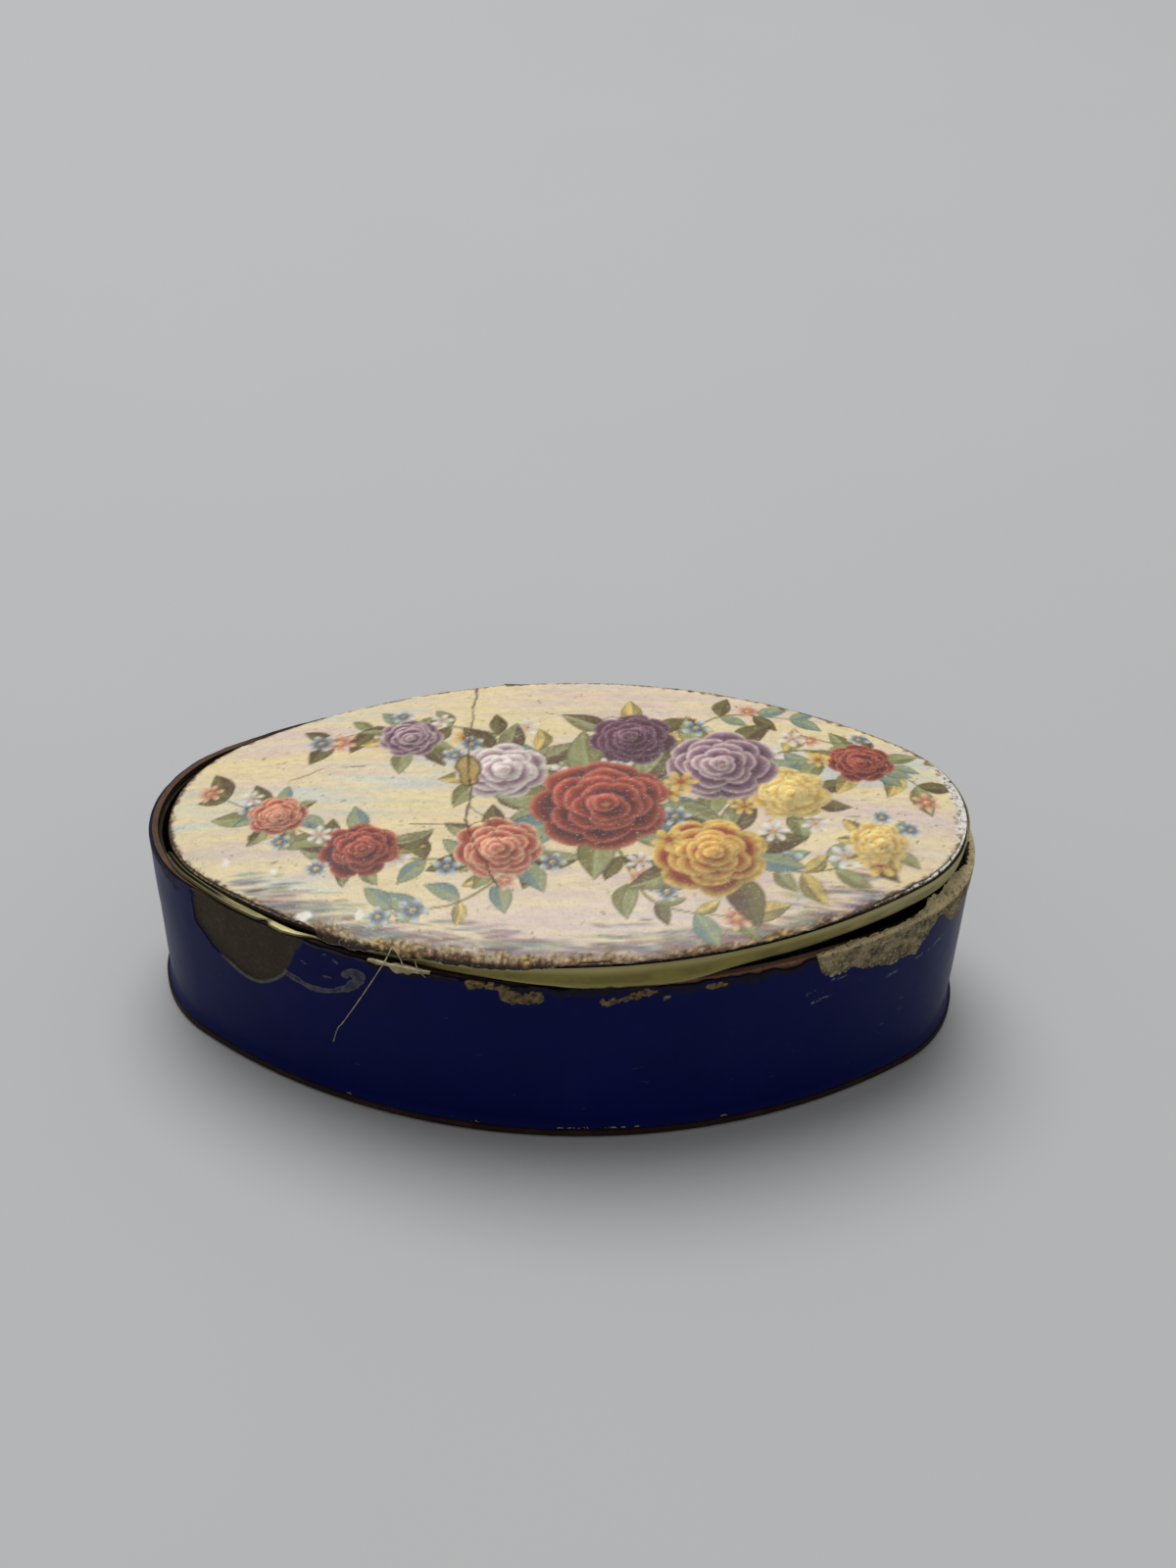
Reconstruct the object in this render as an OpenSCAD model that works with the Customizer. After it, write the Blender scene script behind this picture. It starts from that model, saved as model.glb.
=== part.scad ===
// Oval trinket box: enamelled copper body, domed painted lid, five-knuckle brass hinge at the back.
// Millimetres, +Z up. The origin is the centre of the flat underside, +X along the length, -Y the front.

/* [Oval] */
// Length over the rim
box_l = 90; // [80:1:104]
// Width over the rim
box_w = 50; // [46:1:58]

/* [Body] */
// Height of the rim above the table
rim_z = 22; // [16:0.5:34]
// Thickness of the copper wall
wall_t = 0.6; // [0.4:0.05:0.9]
// Thickness of the blue enamel outside
enamel_t = 0.35; // [0.2:0.05:0.5]
// Thickness of the counter enamel inside the wall
lining_t = 0.3; // [0.15:0.05:0.5]
// Bare copper left above the enamel at the rim
rim_bare = 0.25; // [0.1:0.05:0.5]
// How far the wall leans in between the rim and the flare
taper = 0.3; // [0:0.1:1]
// How far the wall flares out at the foot
flare_out = 0.4; // [0.2:0.1:1.4]
// Radius of the flare
flare_r = 3; // [2:0.5:8]

/* [Base] */
// Thickness of the copper base
base_t = 0.8; // [0.5:0.05:1.2]
// Bare edge of the base beyond the foot of the wall
base_lip = 0.15; // [0.05:0.05:0.5]
// Thickness of the counter enamel under the base
base_enamel_t = 0.3; // [0.15:0.05:0.5]
// Margin of bare copper round the enamel under the base
base_margin = 1.2; // [0.6:0.1:3]
// Thickness of the counter enamel on the inside of the base
floor_t = 0.3; // [0.15:0.05:0.5]

/* [Collar] */
// Height of the brass collar inside the rim
collar_h = 2.8; // [1.5:0.1:5]
// Thickness of the brass collar
collar_t = 0.35; // [0.2:0.05:0.6]

/* [Lid] */
// Play of the lid's ends inside the wall
lid_play = 0.62; // [0.4:0.02:1]
// How far the lid's sides lap over the rim
lid_lap = 0.18; // [0.1:0.02:0.24]
// How far the lid has slipped along the length
lid_shift = 0.45; // [0.3:0.05:0.8]
// Angle of the lid's set across its length, left end sunk inside the rim and right end up
lid_skew = 2.8; // [2.2:0.1:3]
// Height of the lid's edge above the rim, at the middle of the lid
lid_rise = 1.45; // [1.35:0.05:1.8]
// Thickness of the lid's copper plate
plate_t = 0.4; // [0.3:0.05:0.6]
// Thickness of the white ground enamel
ground_t = 0.2; // [0.1:0.05:0.4]
// Thickness of the painted coat
paint_t = 0.12; // [0.08:0.02:0.3]
// Thickness of the counter enamel under the lid
counter_t = 0.2; // [0.1:0.05:0.4]
// Step of each enamel coat in from the edge below it
coat_step = 0.12; // [0.05:0.01:0.3]
// Rise of the dome from the lid's edge
dome_h = 1.3; // [0.6:0.1:2.5]
// End radius of the flat middle of the lid
dome_flat_r = 1.2; // [0.6:0.1:3]

/* [Bezel] */
// Height of the brass band under the lid's edge
bezel_h = 1.6; // [0.8:0.1:2]
// Thickness of the brass band
bezel_t = 0.5; // [0.3:0.05:0.8]
// Step of the band in from the lid's edge
bezel_step = 0.1; // [0.05:0.05:0.3]
// Gap between the closed lid's brass and the rim
rest_gap = 0.15; // [0.1:0.05:0.3]
// Where the broken band ends, left of the lid's middle
bezel_end = 20; // [12:1:22]

/* [Hinge] */
// Outer diameter of the hinge barrel
barrel_d = 1.6; // [1.4:0.1:2.2]
// Diameter of the hinge pin
pin_d = 0.8; // [0.6:0.05:1]
// Length of barrel that each knuckle takes up
knuckle_l = 3.2; // [2.4:0.1:4]
// Gap between two knuckles
knuckle_gap = 0.1; // [0.05:0.05:0.2]
// Radial running clearance of the lid's knuckles on the pin
run_clearance = 0.04; // [0.02:0.01:0.08]
// Diameter of the pin's peened heads
head_d = 1.2; // [1.1:0.05:1.4]
// Thickness of the pin's peened heads
head_t = 0.3; // [0.2:0.05:0.6]
// Thickness of the body's hinge leaf
leaf_t = 0.45; // [0.3:0.05:0.6]
// Depth of the body's hinge leaf under the hinge axis
leaf_drop = 0.24; // [0.15:0.01:0.3]
// How far the leaves reach past the front of the barrel
leaf_reach = 0.3; // [0.15:0.05:0.4]
// Depth of the lid's hinge leaf under the lid
leaf_depth = 1; // [0.8:0.1:2]
// Free space round the moving barrel
hinge_clearance = 0.15; // [0.1:0.05:0.3]

/* [Hidden] */
// Bond line between fired or soldered layers
bond = 0.04;
// Radial clearance of the body's knuckles, which grip the peened pin
grip_clearance = 0.02;
// Points along the flare and along the lid's curved border
flare_steps = 6;
dome_steps = 8;
// Reach of a cutting block past what it cuts
spare = 5;
// Colours
copper = [0.42, 0.25, 0.17];
brass = [0.62, 0.54, 0.26];
dark_enamel = [0.08, 0.09, 0.18];
$fa = 2;
$fs = 0.3;

half_l = box_l / 2;
half_w = box_w / 2;

// Heights of the body
foot_z = base_enamel_t + base_t;
flare_angle = acos(1 - flare_out / flare_r);
flare_z = foot_z + flare_r * sin(flare_angle);

// Depths of the wall's layers, counted in from the outer surface
wall_in = enamel_t + bond;
lining_in = wall_in + wall_t + bond;

// Half length and half width of the rim's oval and of the lid's
rim_half = [half_l, half_w];
lid_half = [half_l - lining_in - lid_play, half_w - lining_in + lid_lap];

// Places of the hinge
barrel_r = barrel_d / 2;
pin_r = pin_d / 2;
knuckles = 5;
hinge_l = knuckles * knuckle_l;
hinge_y = half_w - lining_in + hinge_clearance + barrel_r;
hinge_z = rim_z;
leaf_l = hinge_l - knuckle_gap;
leaf_y = hinge_y - barrel_r + leaf_reach;
collar_top = hinge_z - leaf_drop - leaf_t;
notch_z = min(hinge_z - barrel_r - hinge_clearance, collar_top);
notch_l = hinge_l + 2 * (knuckle_gap + head_t + hinge_clearance);
brass_z = rim_z + rest_gap;

// Layers of the lid above the underside of its edge, and the width of its curved border
ground_z = plate_t + bond;
paint_z = ground_z + ground_t + bond;
dome_w = end_r(lid_half) - dome_flat_r;

// An oval is four arcs set out on 3-4-5 triangles, so that they meet smoothly.
// The end arcs' centres lie 3 units along the length, the side arcs' centres 4 units across.
function unit(half) = (half.x - half.y) / 2;
function end_x(half) = 3 * unit(half);
function side_y(half) = 4 * unit(half);
function end_r(half) = half.x - end_x(half);
function side_r(half) = half.y + side_y(half);

// Offset of the outer surface from the rim's oval at height z
function wall_x(z) =
    z >= flare_z
        ? -taper * (rim_z - z) / (rim_z - flare_z)
        : flare_r - taper - sqrt(flare_r * flare_r - (flare_z - z) * (flare_z - z));

// Points up the wall at a depth under its outer surface
function wall_line(depth, low, high) = concat(
    [
        for (i = [0 : flare_steps])
            let (z = low + (flare_z - low) * i / flare_steps)
            [wall_x(z) - depth, z]
    ],
    [[wall_x(high) - depth, high]]
);

// A line run on past both its ends
function run_on(line) = concat([line[0] - [0, spare]], line, [line[len(line) - 1] + [0, spare]]);

// Rise of the lid at a distance in from its edge
function dome(s) = dome_h * (1 - pow((dome_w - s) / dome_w, 2));

// Turns a line of [offset from the oval, height] points into a solid about the Z axis
module turned(r, line) {
    rotate_extrude()
        polygon(concat(
            [[0, line[0].y]],
            [for (p = line) [r + p.x, p.y]],
            [[0, line[len(line) - 1].y]]
        ));
}

// The solid oval inside a line that climbs from its foot to its top.
// Two turned ends lie inside the two turned sides, which are kept only as far as the ends' axes.
module oval_solid(line, half = rim_half) {
    reach = [end_x(half) + 3 * half_l, 4 * half_l];
    middle = [
        [end_x(half), 0], reach, [-reach.x, reach.y],
        [-end_x(half), 0], -reach, [reach.x, -reach.y]
    ];
    for (end = [-1, 1])
        translate([end * end_x(half), 0, 0]) turned(end_r(half), line);
    intersection() {
        translate([0, 0, -box_l]) linear_extrude(2 * box_l) polygon(middle);
        translate([0, side_y(half), 0]) turned(side_r(half), line);
        translate([0, -side_y(half), 0]) turned(side_r(half), line);
    }
}

// A flat oval plate, larger than the rim's oval by edge
module oval_plate(edge, t) {
    oval_solid([[edge, 0], [edge, t]]);
}

// An oval ring between two lines
module oval_ring(outer, inner, half = rim_half) {
    difference() {
        oval_solid(outer, half);
        oval_solid(run_on(inner), half);
    }
}

// A layer of the wall between two depths and two heights
module wall_layer(depth, t, low, high) {
    oval_ring(wall_line(depth, low, high), wall_line(depth + t, low, high));
}

// Cuts the rim open at the back for the hinge barrel
module hinge_notch() {
    translate([-notch_l / 2, half_w / 2, notch_z])
        cube([notch_l, box_w, rim_z - notch_z + spare]);
}

// A rod along the hinge axis, centred at x
module hinge_rod(r, l, x = 0) {
    translate([x - l / 2, hinge_y, hinge_z])
        rotate([0, 90, 0])
            cylinder(r = r, h = l);
}

function knuckle_x(i) = (i - (knuckles - 1) / 2) * knuckle_l;

// One tube of the hinge barrel
module knuckle(i, clearance) {
    difference() {
        hinge_rod(barrel_r, knuckle_l - knuckle_gap, knuckle_x(i));
        hinge_rod(pin_r + clearance, knuckle_l, knuckle_x(i));
    }
}

// Room round the barrel: a bond line at a leaf's own knuckles, free space at the others
module barrel_room(other_first) {
    hinge_rod(barrel_r + bond, hinge_l + spare);
    for (i = [other_first : 2 : knuckles - 1])
        hinge_rod(barrel_r + hinge_clearance, knuckle_l + knuckle_gap, knuckle_x(i));
}

// Places the lid: slipped to the right, with its left end sunk inside the rim and its right end up
module lid_seat() {
    translate([lid_shift, 0, rim_z + lid_rise])
        rotate([0, -lid_skew, 0])
            children();
}

// A domed layer of the lid, from a distance in from its edge to the middle
module dome_layer(start, z, t) {
    step = (dome_w - start) / dome_steps;
    edge = [-start, dome(start) + z];
    under = [for (i = [0 : dome_steps]) let (s = start + i * step) [-s, dome(s) + z]];
    difference() {
        oval_solid(concat([edge - [0, spare]], [for (p = under) p + [0, t]]), lid_half);
        oval_solid(concat([edge + [spare, -2 * spare], edge + [spare, 0]], under), lid_half);
    }
}

module base_enamel() {
    color(dark_enamel)
        oval_plate(wall_x(foot_z) + base_lip - base_margin, base_enamel_t);
}

module base_plate() {
    color(copper)
        translate([0, 0, base_enamel_t])
            oval_plate(wall_x(foot_z) + base_lip, base_t);
}

module floor_enamel() {
    color(dark_enamel)
        translate([0, 0, foot_z])
            oval_plate(wall_x(foot_z + floor_t) - lining_in, floor_t);
}

module body_wall() {
    color(copper)
        difference() {
            wall_layer(wall_in, wall_t, foot_z, rim_z);
            hinge_notch();
        }
}

module outer_enamel() {
    color([0.03, 0.04, 0.3])
        difference() {
            wall_layer(0, enamel_t, foot_z + bond, rim_z - rim_bare);
            hinge_notch();
        }
}

module inner_enamel() {
    color(dark_enamel)
        wall_layer(lining_in, lining_t, foot_z + floor_t + bond, collar_top - collar_h - bond);
}

module rim_collar() {
    line = [for (z = [collar_top - collar_h, collar_top]) [wall_x(z) - lining_in, z]];
    color(brass)
        oval_ring(line, [for (p = line) p - [collar_t, 0]]);
}

module body_hinge_leaf() {
    collar_r = side_r(rim_half) + wall_x(collar_top) - lining_in - collar_t;
    front = sqrt(collar_r * collar_r - leaf_l * leaf_l / 4) - side_y(rim_half);
    color(brass)
        difference() {
            translate([-leaf_l / 2, front, collar_top]) cube([leaf_l, leaf_y - front, leaf_t]);
            barrel_room(1);
        }
}

module body_knuckle(i) {
    color(brass) knuckle(i, grip_clearance);
}

module hinge_pin() {
    color([0.55, 0.55, 0.52]) {
        hinge_rod(pin_r, hinge_l + 2 * head_t);
        for (side = [-1, 1])
            hinge_rod(head_d / 2, head_t, side * (hinge_l + head_t) / 2);
    }
}

module lid_plate() {
    color(copper)
        lid_seat() dome_layer(0, 0, plate_t);
}

module lid_ground() {
    color([0.9, 0.88, 0.82])
        lid_seat() dome_layer(coat_step, ground_z, ground_t);
}

module lid_painting() {
    color([0.78, 0.72, 0.6])
        lid_seat() dome_layer(2 * coat_step, paint_z, paint_t);
}

module lid_counter_enamel() {
    color(dark_enamel)
        lid_seat() dome_layer(leaf_depth + bond, -counter_t - bond, counter_t);
}

module lid_bezel() {
    hinge_end = leaf_l / 2 + knuckle_gap;
    band = [for (z = [-bezel_h, 0]) [-bezel_step, z - bond]];
    color(brass)
        difference() {
            lid_seat()
                oval_ring(band, [for (p = band) p - [bezel_t, 0]], lid_half);
            translate([-box_l, -box_w, brass_z - spare]) cube([2 * box_l, 2 * box_w, spare]);
            translate([-box_l, 0, rim_z - spare]) cube([box_l + hinge_end, box_w, 2 * spare]);
            translate([-box_l - bezel_end, -box_w, rim_z - spare]) cube([box_l, box_w + spare, 2 * spare]);
        }
}

module lid_hinge_leaf() {
    front = lid_half.y - leaf_depth;
    color(brass)
        difference() {
            translate([-leaf_l / 2, front, brass_z]) cube([leaf_l, leaf_y - front, lid_rise + spare]);
            lid_seat() translate([-box_l, -box_w, -bond]) cube([2 * box_l, 2 * box_w, 4 * spare]);
            barrel_room(0);
        }
}

module lid_knuckle(i) {
    color(brass) knuckle(i, run_clearance);
}

base_enamel();
base_plate();
floor_enamel();
body_wall();
outer_enamel();
inner_enamel();
rim_collar();
body_hinge_leaf();
for (i = [1 : 3])
    body_knuckle(2 * (i - 1));
hinge_pin();
lid_plate();
lid_ground();
lid_painting();
lid_counter_enamel();
lid_bezel();
lid_hinge_leaf();
for (i = [1 : 2])
    lid_knuckle(2 * i - 1);
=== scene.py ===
"""Oval trinket box in worn enamel: cobalt body, painted domed lid, loose brass band, old cement."""
import math

import bmesh
import bpy
import numpy as np
from mathutils import Matrix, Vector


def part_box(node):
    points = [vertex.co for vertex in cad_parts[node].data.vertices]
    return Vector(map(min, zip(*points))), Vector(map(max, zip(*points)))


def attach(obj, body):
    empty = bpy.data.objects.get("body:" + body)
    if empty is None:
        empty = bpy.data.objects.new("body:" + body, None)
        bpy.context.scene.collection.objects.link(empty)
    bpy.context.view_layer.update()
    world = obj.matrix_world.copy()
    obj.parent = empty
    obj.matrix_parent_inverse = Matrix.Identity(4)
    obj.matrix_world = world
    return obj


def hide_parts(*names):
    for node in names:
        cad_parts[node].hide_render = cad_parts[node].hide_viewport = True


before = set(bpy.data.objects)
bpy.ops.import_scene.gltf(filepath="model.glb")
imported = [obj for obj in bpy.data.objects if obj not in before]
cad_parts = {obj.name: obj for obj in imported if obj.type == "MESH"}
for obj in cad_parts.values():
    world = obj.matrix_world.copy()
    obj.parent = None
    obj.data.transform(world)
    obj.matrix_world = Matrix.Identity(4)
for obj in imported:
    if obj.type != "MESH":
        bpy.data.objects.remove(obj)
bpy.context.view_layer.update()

# Sizes are in millimetres until a mesh is made
MM = 0.001


def extent(node):
    """Lowest and highest corner of a CAD node, in millimetres."""
    low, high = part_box(node)
    return np.array(low) / MM, np.array(high) / MM


# How far the base's edge stands out past the rim, and how the wall leans in and flares at the foot
BASE_OVERHANG = 0.25
TAPER = 0.3
FLARE_R = 3.0
FLARE_OUT = 0.4
# Depth of the coat's back under the wall's outer surface
COAT_BACK = 0.35
# The hinge notch's half length along the wall, and its depth
NOTCH = 8.575
NOTCH_DEPTH = 0.95

HALF_L, HALF_W = extent("base_plate")[1][:2] - BASE_OVERHANG
FOOT_Z = extent("base_plate")[1][2]
RIM_Z = extent("body_wall")[1][2]
COAT_LOW = extent("outer_enamel")[0][2]
COAT_TOP = extent("outer_enamel")[1][2]
NOTCH_Z = RIM_Z - NOTCH_DEPTH
FLARE_Z = FOOT_Z + FLARE_R * math.sin(math.acos(1 - FLARE_OUT / FLARE_R))

# The lid's own oval and seat: slipped to the right, left end sunk inside the rim, right end up
LID_INSET_L = 1.65
LID_INSET_W = 0.85
LID_LIFT = 1.45
LID_SHIFT = 0.45
LID_SKEW = math.radians(2.8)
LID_HALF_L = HALF_L - LID_INSET_L
LID_HALF_W = HALF_W - LID_INSET_W
LID_SEAT_Z = RIM_Z + LID_LIFT
# The lid's dome, and its painted coat: top over the underside of the lid's edge, thickness, inset
DOME_H = 1.3
DOME_FLAT_R = 1.2
PAINT_TOP = 0.80
PAINT_T = 0.12
PAINT_EDGE = 0.24


class Oval:
    """Four arcs set out on 3-4-5 triangles: ends centred 3 units along the length, sides 4 units across."""

    # Direction that the edge faces where an end meets a side, and its cosine
    MEET = math.atan2(4, 3)
    MEET_COS = 0.6

    def __init__(self, half_l, half_w):
        unit = (half_l - half_w) / 2
        self.end_x = 3 * unit
        self.side_y = 4 * unit
        self.end_r = half_l - self.end_x
        self.side_r = half_w + self.side_y
        end = self.end_r * self.MEET
        side = self.side_r * (math.pi / 2 - self.MEET)
        self.half_round = 2 * (end + side)
        self.knots = np.cumsum([0, side, end, end, side, side, end, end, side]) - self.half_round
        quarter = np.array([-math.pi / 2, -self.MEET, 0, self.MEET])
        self.angles = np.concatenate([quarter - math.pi, quarter, [math.pi / 2]])

    def angle(self, arc):
        """Direction that the edge faces at a length along it, from the front middle to the right."""
        return np.interp(arc, self.knots, self.angles)

    def point(self, angle, offset=0.0):
        """The point that faces an angle, moved out square to the edge by offset."""
        c, s = np.cos(angle), np.sin(angle)
        end = np.abs(c) > self.MEET_COS
        end_r = self.end_r + offset
        side_r = self.side_r + offset
        x = np.where(end, np.sign(c) * self.end_x + end_r * c, side_r * c)
        y = np.where(end, end_r * s, side_r * s - np.sign(s) * self.side_y)
        return x, y

    def reach(self, angle):
        """Distance from the centre to the edge's tangent that faces an angle."""
        c, s = np.abs(np.cos(angle)), np.abs(np.sin(angle))
        return np.where(c > self.MEET_COS, self.end_x * c + self.end_r, self.side_r - self.side_y * s)

    def inset(self, x, y):
        """Distance of a point in from the edge."""
        x, y = np.abs(x), np.abs(y)
        from_end = self.end_r - np.hypot(x - self.end_x, y)
        from_side = self.side_r - np.hypot(x, y + self.side_y)
        return np.where(3 * y < 4 * (x - self.end_x), from_end, from_side)


RIM = Oval(HALF_L, HALF_W)
LID = Oval(LID_HALF_L, LID_HALF_W)
DOME_W = LID.end_r - DOME_FLAT_R


def smooth(low, high, value):
    """Rises from 0 at low to 1 at high along a smooth S."""
    t = np.clip((value - low) / (high - low), 0, 1)
    return t * t * (3 - 2 * t)


LATTICE_SIZE = 128
LATTICE = np.random.default_rng(7).uniform(-1, 1, (LATTICE_SIZE, LATTICE_SIZE))
# How far each seed slides the lattice, so that no two fields are alike
SEED_X = 17.3
SEED_Y = 31.7


def noise(x, y, seed=0):
    """Random heights on a square lattice, blended smoothly between its points."""
    x = np.asarray(x, float) + SEED_X * seed
    y = np.asarray(y, float) + SEED_Y * seed
    column, row = np.floor(x).astype(int), np.floor(y).astype(int)
    u, v = smooth(0, 1, x - column), smooth(0, 1, y - row)
    left, right = column % LATTICE_SIZE, (column + 1) % LATTICE_SIZE
    below, above = row % LATTICE_SIZE, (row + 1) % LATTICE_SIZE
    near = LATTICE[below, left] * (1 - u) + LATTICE[below, right] * u
    far = LATTICE[above, left] * (1 - u) + LATTICE[above, right] * u
    return near * (1 - v) + far * v


def ragged(x, y, seed=0):
    """Three layers of noise, each twice as fine and half as high as the one before, kept within 1."""
    layers = [noise(2 ** k * x, 2 ** k * y, seed + k) / 2 ** k for k in range(3)]
    return sum(layers) / (1 + 1 / 2 + 1 / 4)


def along(knots, value):
    """A height read off a line through listed knots."""
    places, heights = np.array(knots, float).T
    return np.interp(value, places, heights)


def rounded(points, steps=8, closed=True):
    """A smooth curve through points: each stretch is a cubic, sloped by its ends' neighbours."""
    p = np.array(points, float)
    if closed:
        p = np.concatenate([p[-1:], p, p[:2]])
    else:
        p = np.concatenate([2 * p[:1] - p[1:2], p, 2 * p[-1:] - p[-2:-1]])
    a, b, c, d = (p[i:len(p) - 3 + i, None] for i in range(4))
    t = np.linspace(0, 1, steps, endpoint=False)[None, :, None]
    square = 2 * a - 5 * b + 4 * c - d
    cube = 3 * b - a - 3 * c + d
    curve = 0.5 * (2 * b + (c - a) * t + square * t ** 2 + cube * t ** 3)
    curve = curve.reshape(-1, p.shape[1])
    return curve if closed else np.concatenate([curve, p[-2:-1]])


def line_distance(x, y, line):
    """Distance of each point from the nearest stretch of a line."""
    best = np.full(np.shape(x), np.inf)
    for (ax, ay), (bx, by) in zip(line[:-1], line[1:]):
        dx, dy = bx - ax, by - ay
        t = np.clip(((x - ax) * dx + (y - ay) * dy) / (dx * dx + dy * dy + 1e-12), 0, 1)
        best = np.minimum(best, np.hypot(x - ax - t * dx, y - ay - t * dy))
    return best


def nearest_line(x, y, lines):
    """Distance of each point from the nearest of several lines."""
    return np.min([line_distance(x, y, np.array(line)) for line in lines], axis=0)


def inside_distance(x, y, loop):
    """Distance from a closed line, counted positive inside it by the even-odd rule."""
    closed = np.concatenate([loop, loop[:1]])
    inside = np.zeros(np.shape(x), bool)
    for (ax, ay), (bx, by) in zip(closed[:-1], closed[1:]):
        if ay != by:
            inside ^= ((ay > y) != (by > y)) & (x < (bx - ax) * (y - ay) / (by - ay) + ax)
    return np.where(inside, 1, -1) * line_distance(x, y, closed)


def turned(x, y, angle):
    """Distances along and across a direction."""
    c, s = math.cos(angle), math.sin(angle)
    return x * c + y * s, y * c - x * s


def wall_offset(z):
    """Offset of the wall's outer surface from the rim's oval: a straight lean over a flared arc."""
    lean = -TAPER * (RIM_Z - z) / (RIM_Z - FLARE_Z)
    drop = np.clip(FLARE_Z - z, 0, FLARE_R)
    flare = FLARE_R - TAPER - np.sqrt(FLARE_R ** 2 - drop ** 2)
    return np.where(z >= FLARE_Z, lean, flare)


def dome(inset):
    """Rise of the lid: a parabola over its curved border, level inside it."""
    return DOME_H * (1 - np.clip((DOME_W - inset) / DOME_W, 0, 1) ** 2)


def on_wall(arc, offset, z):
    """Points round the rim's oval."""
    x, y = RIM.point(RIM.angle(arc), offset)
    return np.stack([x, y, np.broadcast_to(z, x.shape)], -1)


def on_lid(x, y, z):
    """Points of the level lid, turned and lifted to its seat."""
    c, s = math.cos(LID_SKEW), math.sin(LID_SKEW)
    return np.stack([LID_SHIFT + x * c - z * s, y, LID_SEAT_Z + x * s + z * c], -1)


def lid_edge(arc):
    """Offset of the lid's edge from the rim's oval, and the height of its underside there."""
    angle = RIM.angle(arc)
    offset = LID.reach(angle) + LID_SHIFT * np.cos(angle) - RIM.reach(angle)
    x = RIM.point(angle, offset)[0]
    return offset, LID_SEAT_Z + (x - LID_SHIFT) * math.tan(LID_SKEW)


def grid_faces(rows, columns, round_rows=False, round_columns=False):
    """Four-sided faces between neighbours of a grid of points, closed on itself where asked."""
    r = np.arange(rows if round_rows else rows - 1)[:, None]
    c = np.arange(columns if round_columns else columns - 1)[None, :]
    below, beside = (r + 1) % rows, (c + 1) % columns
    corners = (r * columns + c, r * columns + beside, below * columns + beside, below * columns + c)
    return np.stack(np.broadcast_arrays(*corners), -1).reshape(-1, 4)


def cap_faces(ring):
    """Four-sided faces that close a ring of an even number of points, straight across."""
    half = len(ring) // 2
    left, right = ring[:half], ring[half:][::-1]
    return np.stack([left[:-1], left[1:], right[1:], right[:-1]], -1)


def tube_faces(rings, sides):
    """Faces of a closed tube: rings of points joined one to the next, the first and the last capped."""
    first = np.arange(sides)
    last = first + (rings - 1) * sides
    return np.concatenate([grid_faces(rings, sides, False, True), cap_faces(first), cap_faces(last)])


def make_piece(name, points, faces, material, body, stands_for=(), values=None, paint=None,
               crease=35):
    """Puts points and faces into a mesh piece that rides on a body, with numbers or a colour per point.

    An edge that bends by more than crease degrees stays sharp.
    """
    mesh = bpy.data.meshes.new(name)
    mesh.from_pydata((points.reshape(-1, 3) * MM).tolist(), [], faces.tolist())
    work = bmesh.new()
    work.from_mesh(mesh)
    bmesh.ops.recalc_face_normals(work, faces=work.faces)
    work.to_mesh(mesh)
    work.free()
    for key, value in (values or {}).items():
        numbers = mesh.attributes.new(key, "FLOAT", "POINT").data
        numbers.foreach_set("value", value.ravel().astype(np.float32))
    if paint is not None:
        shown = np.concatenate([paint.reshape(-1, 3), np.ones((paint.size // 3, 1))], 1)
        colours = mesh.attributes.new("paint", "FLOAT_COLOR", "POINT").data
        colours.foreach_set("color", shown.astype(np.float32).ravel())
    mesh.polygons.foreach_set("use_smooth", np.ones(len(mesh.polygons), bool))
    mesh.set_sharp_from_angle(angle=math.radians(crease))
    mesh.materials.append(material)
    piece = bpy.data.objects.new(name, mesh)
    bpy.context.collection.objects.link(piece)
    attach(piece, body)
    if stands_for:
        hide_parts(*stands_for)


class Field:
    """A shader socket that takes Python's arithmetic, one Math node for each operator."""

    def __init__(self, finish, socket):
        self.finish = finish
        self.socket = socket

    def math(self, operation, first, second):
        """The field that one Math node gives."""
        return self.finish.node("Math", {"operation": operation}, {0: first, 1: second})

    def __add__(self, other):
        return self.math("ADD", self, other)

    def __sub__(self, other):
        return self.math("SUBTRACT", self, other)

    def __rsub__(self, other):
        return self.math("SUBTRACT", other, self)

    def __mul__(self, other):
        return self.math("MULTIPLY", self, other)

    __radd__ = __add__
    __rmul__ = __mul__


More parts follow.
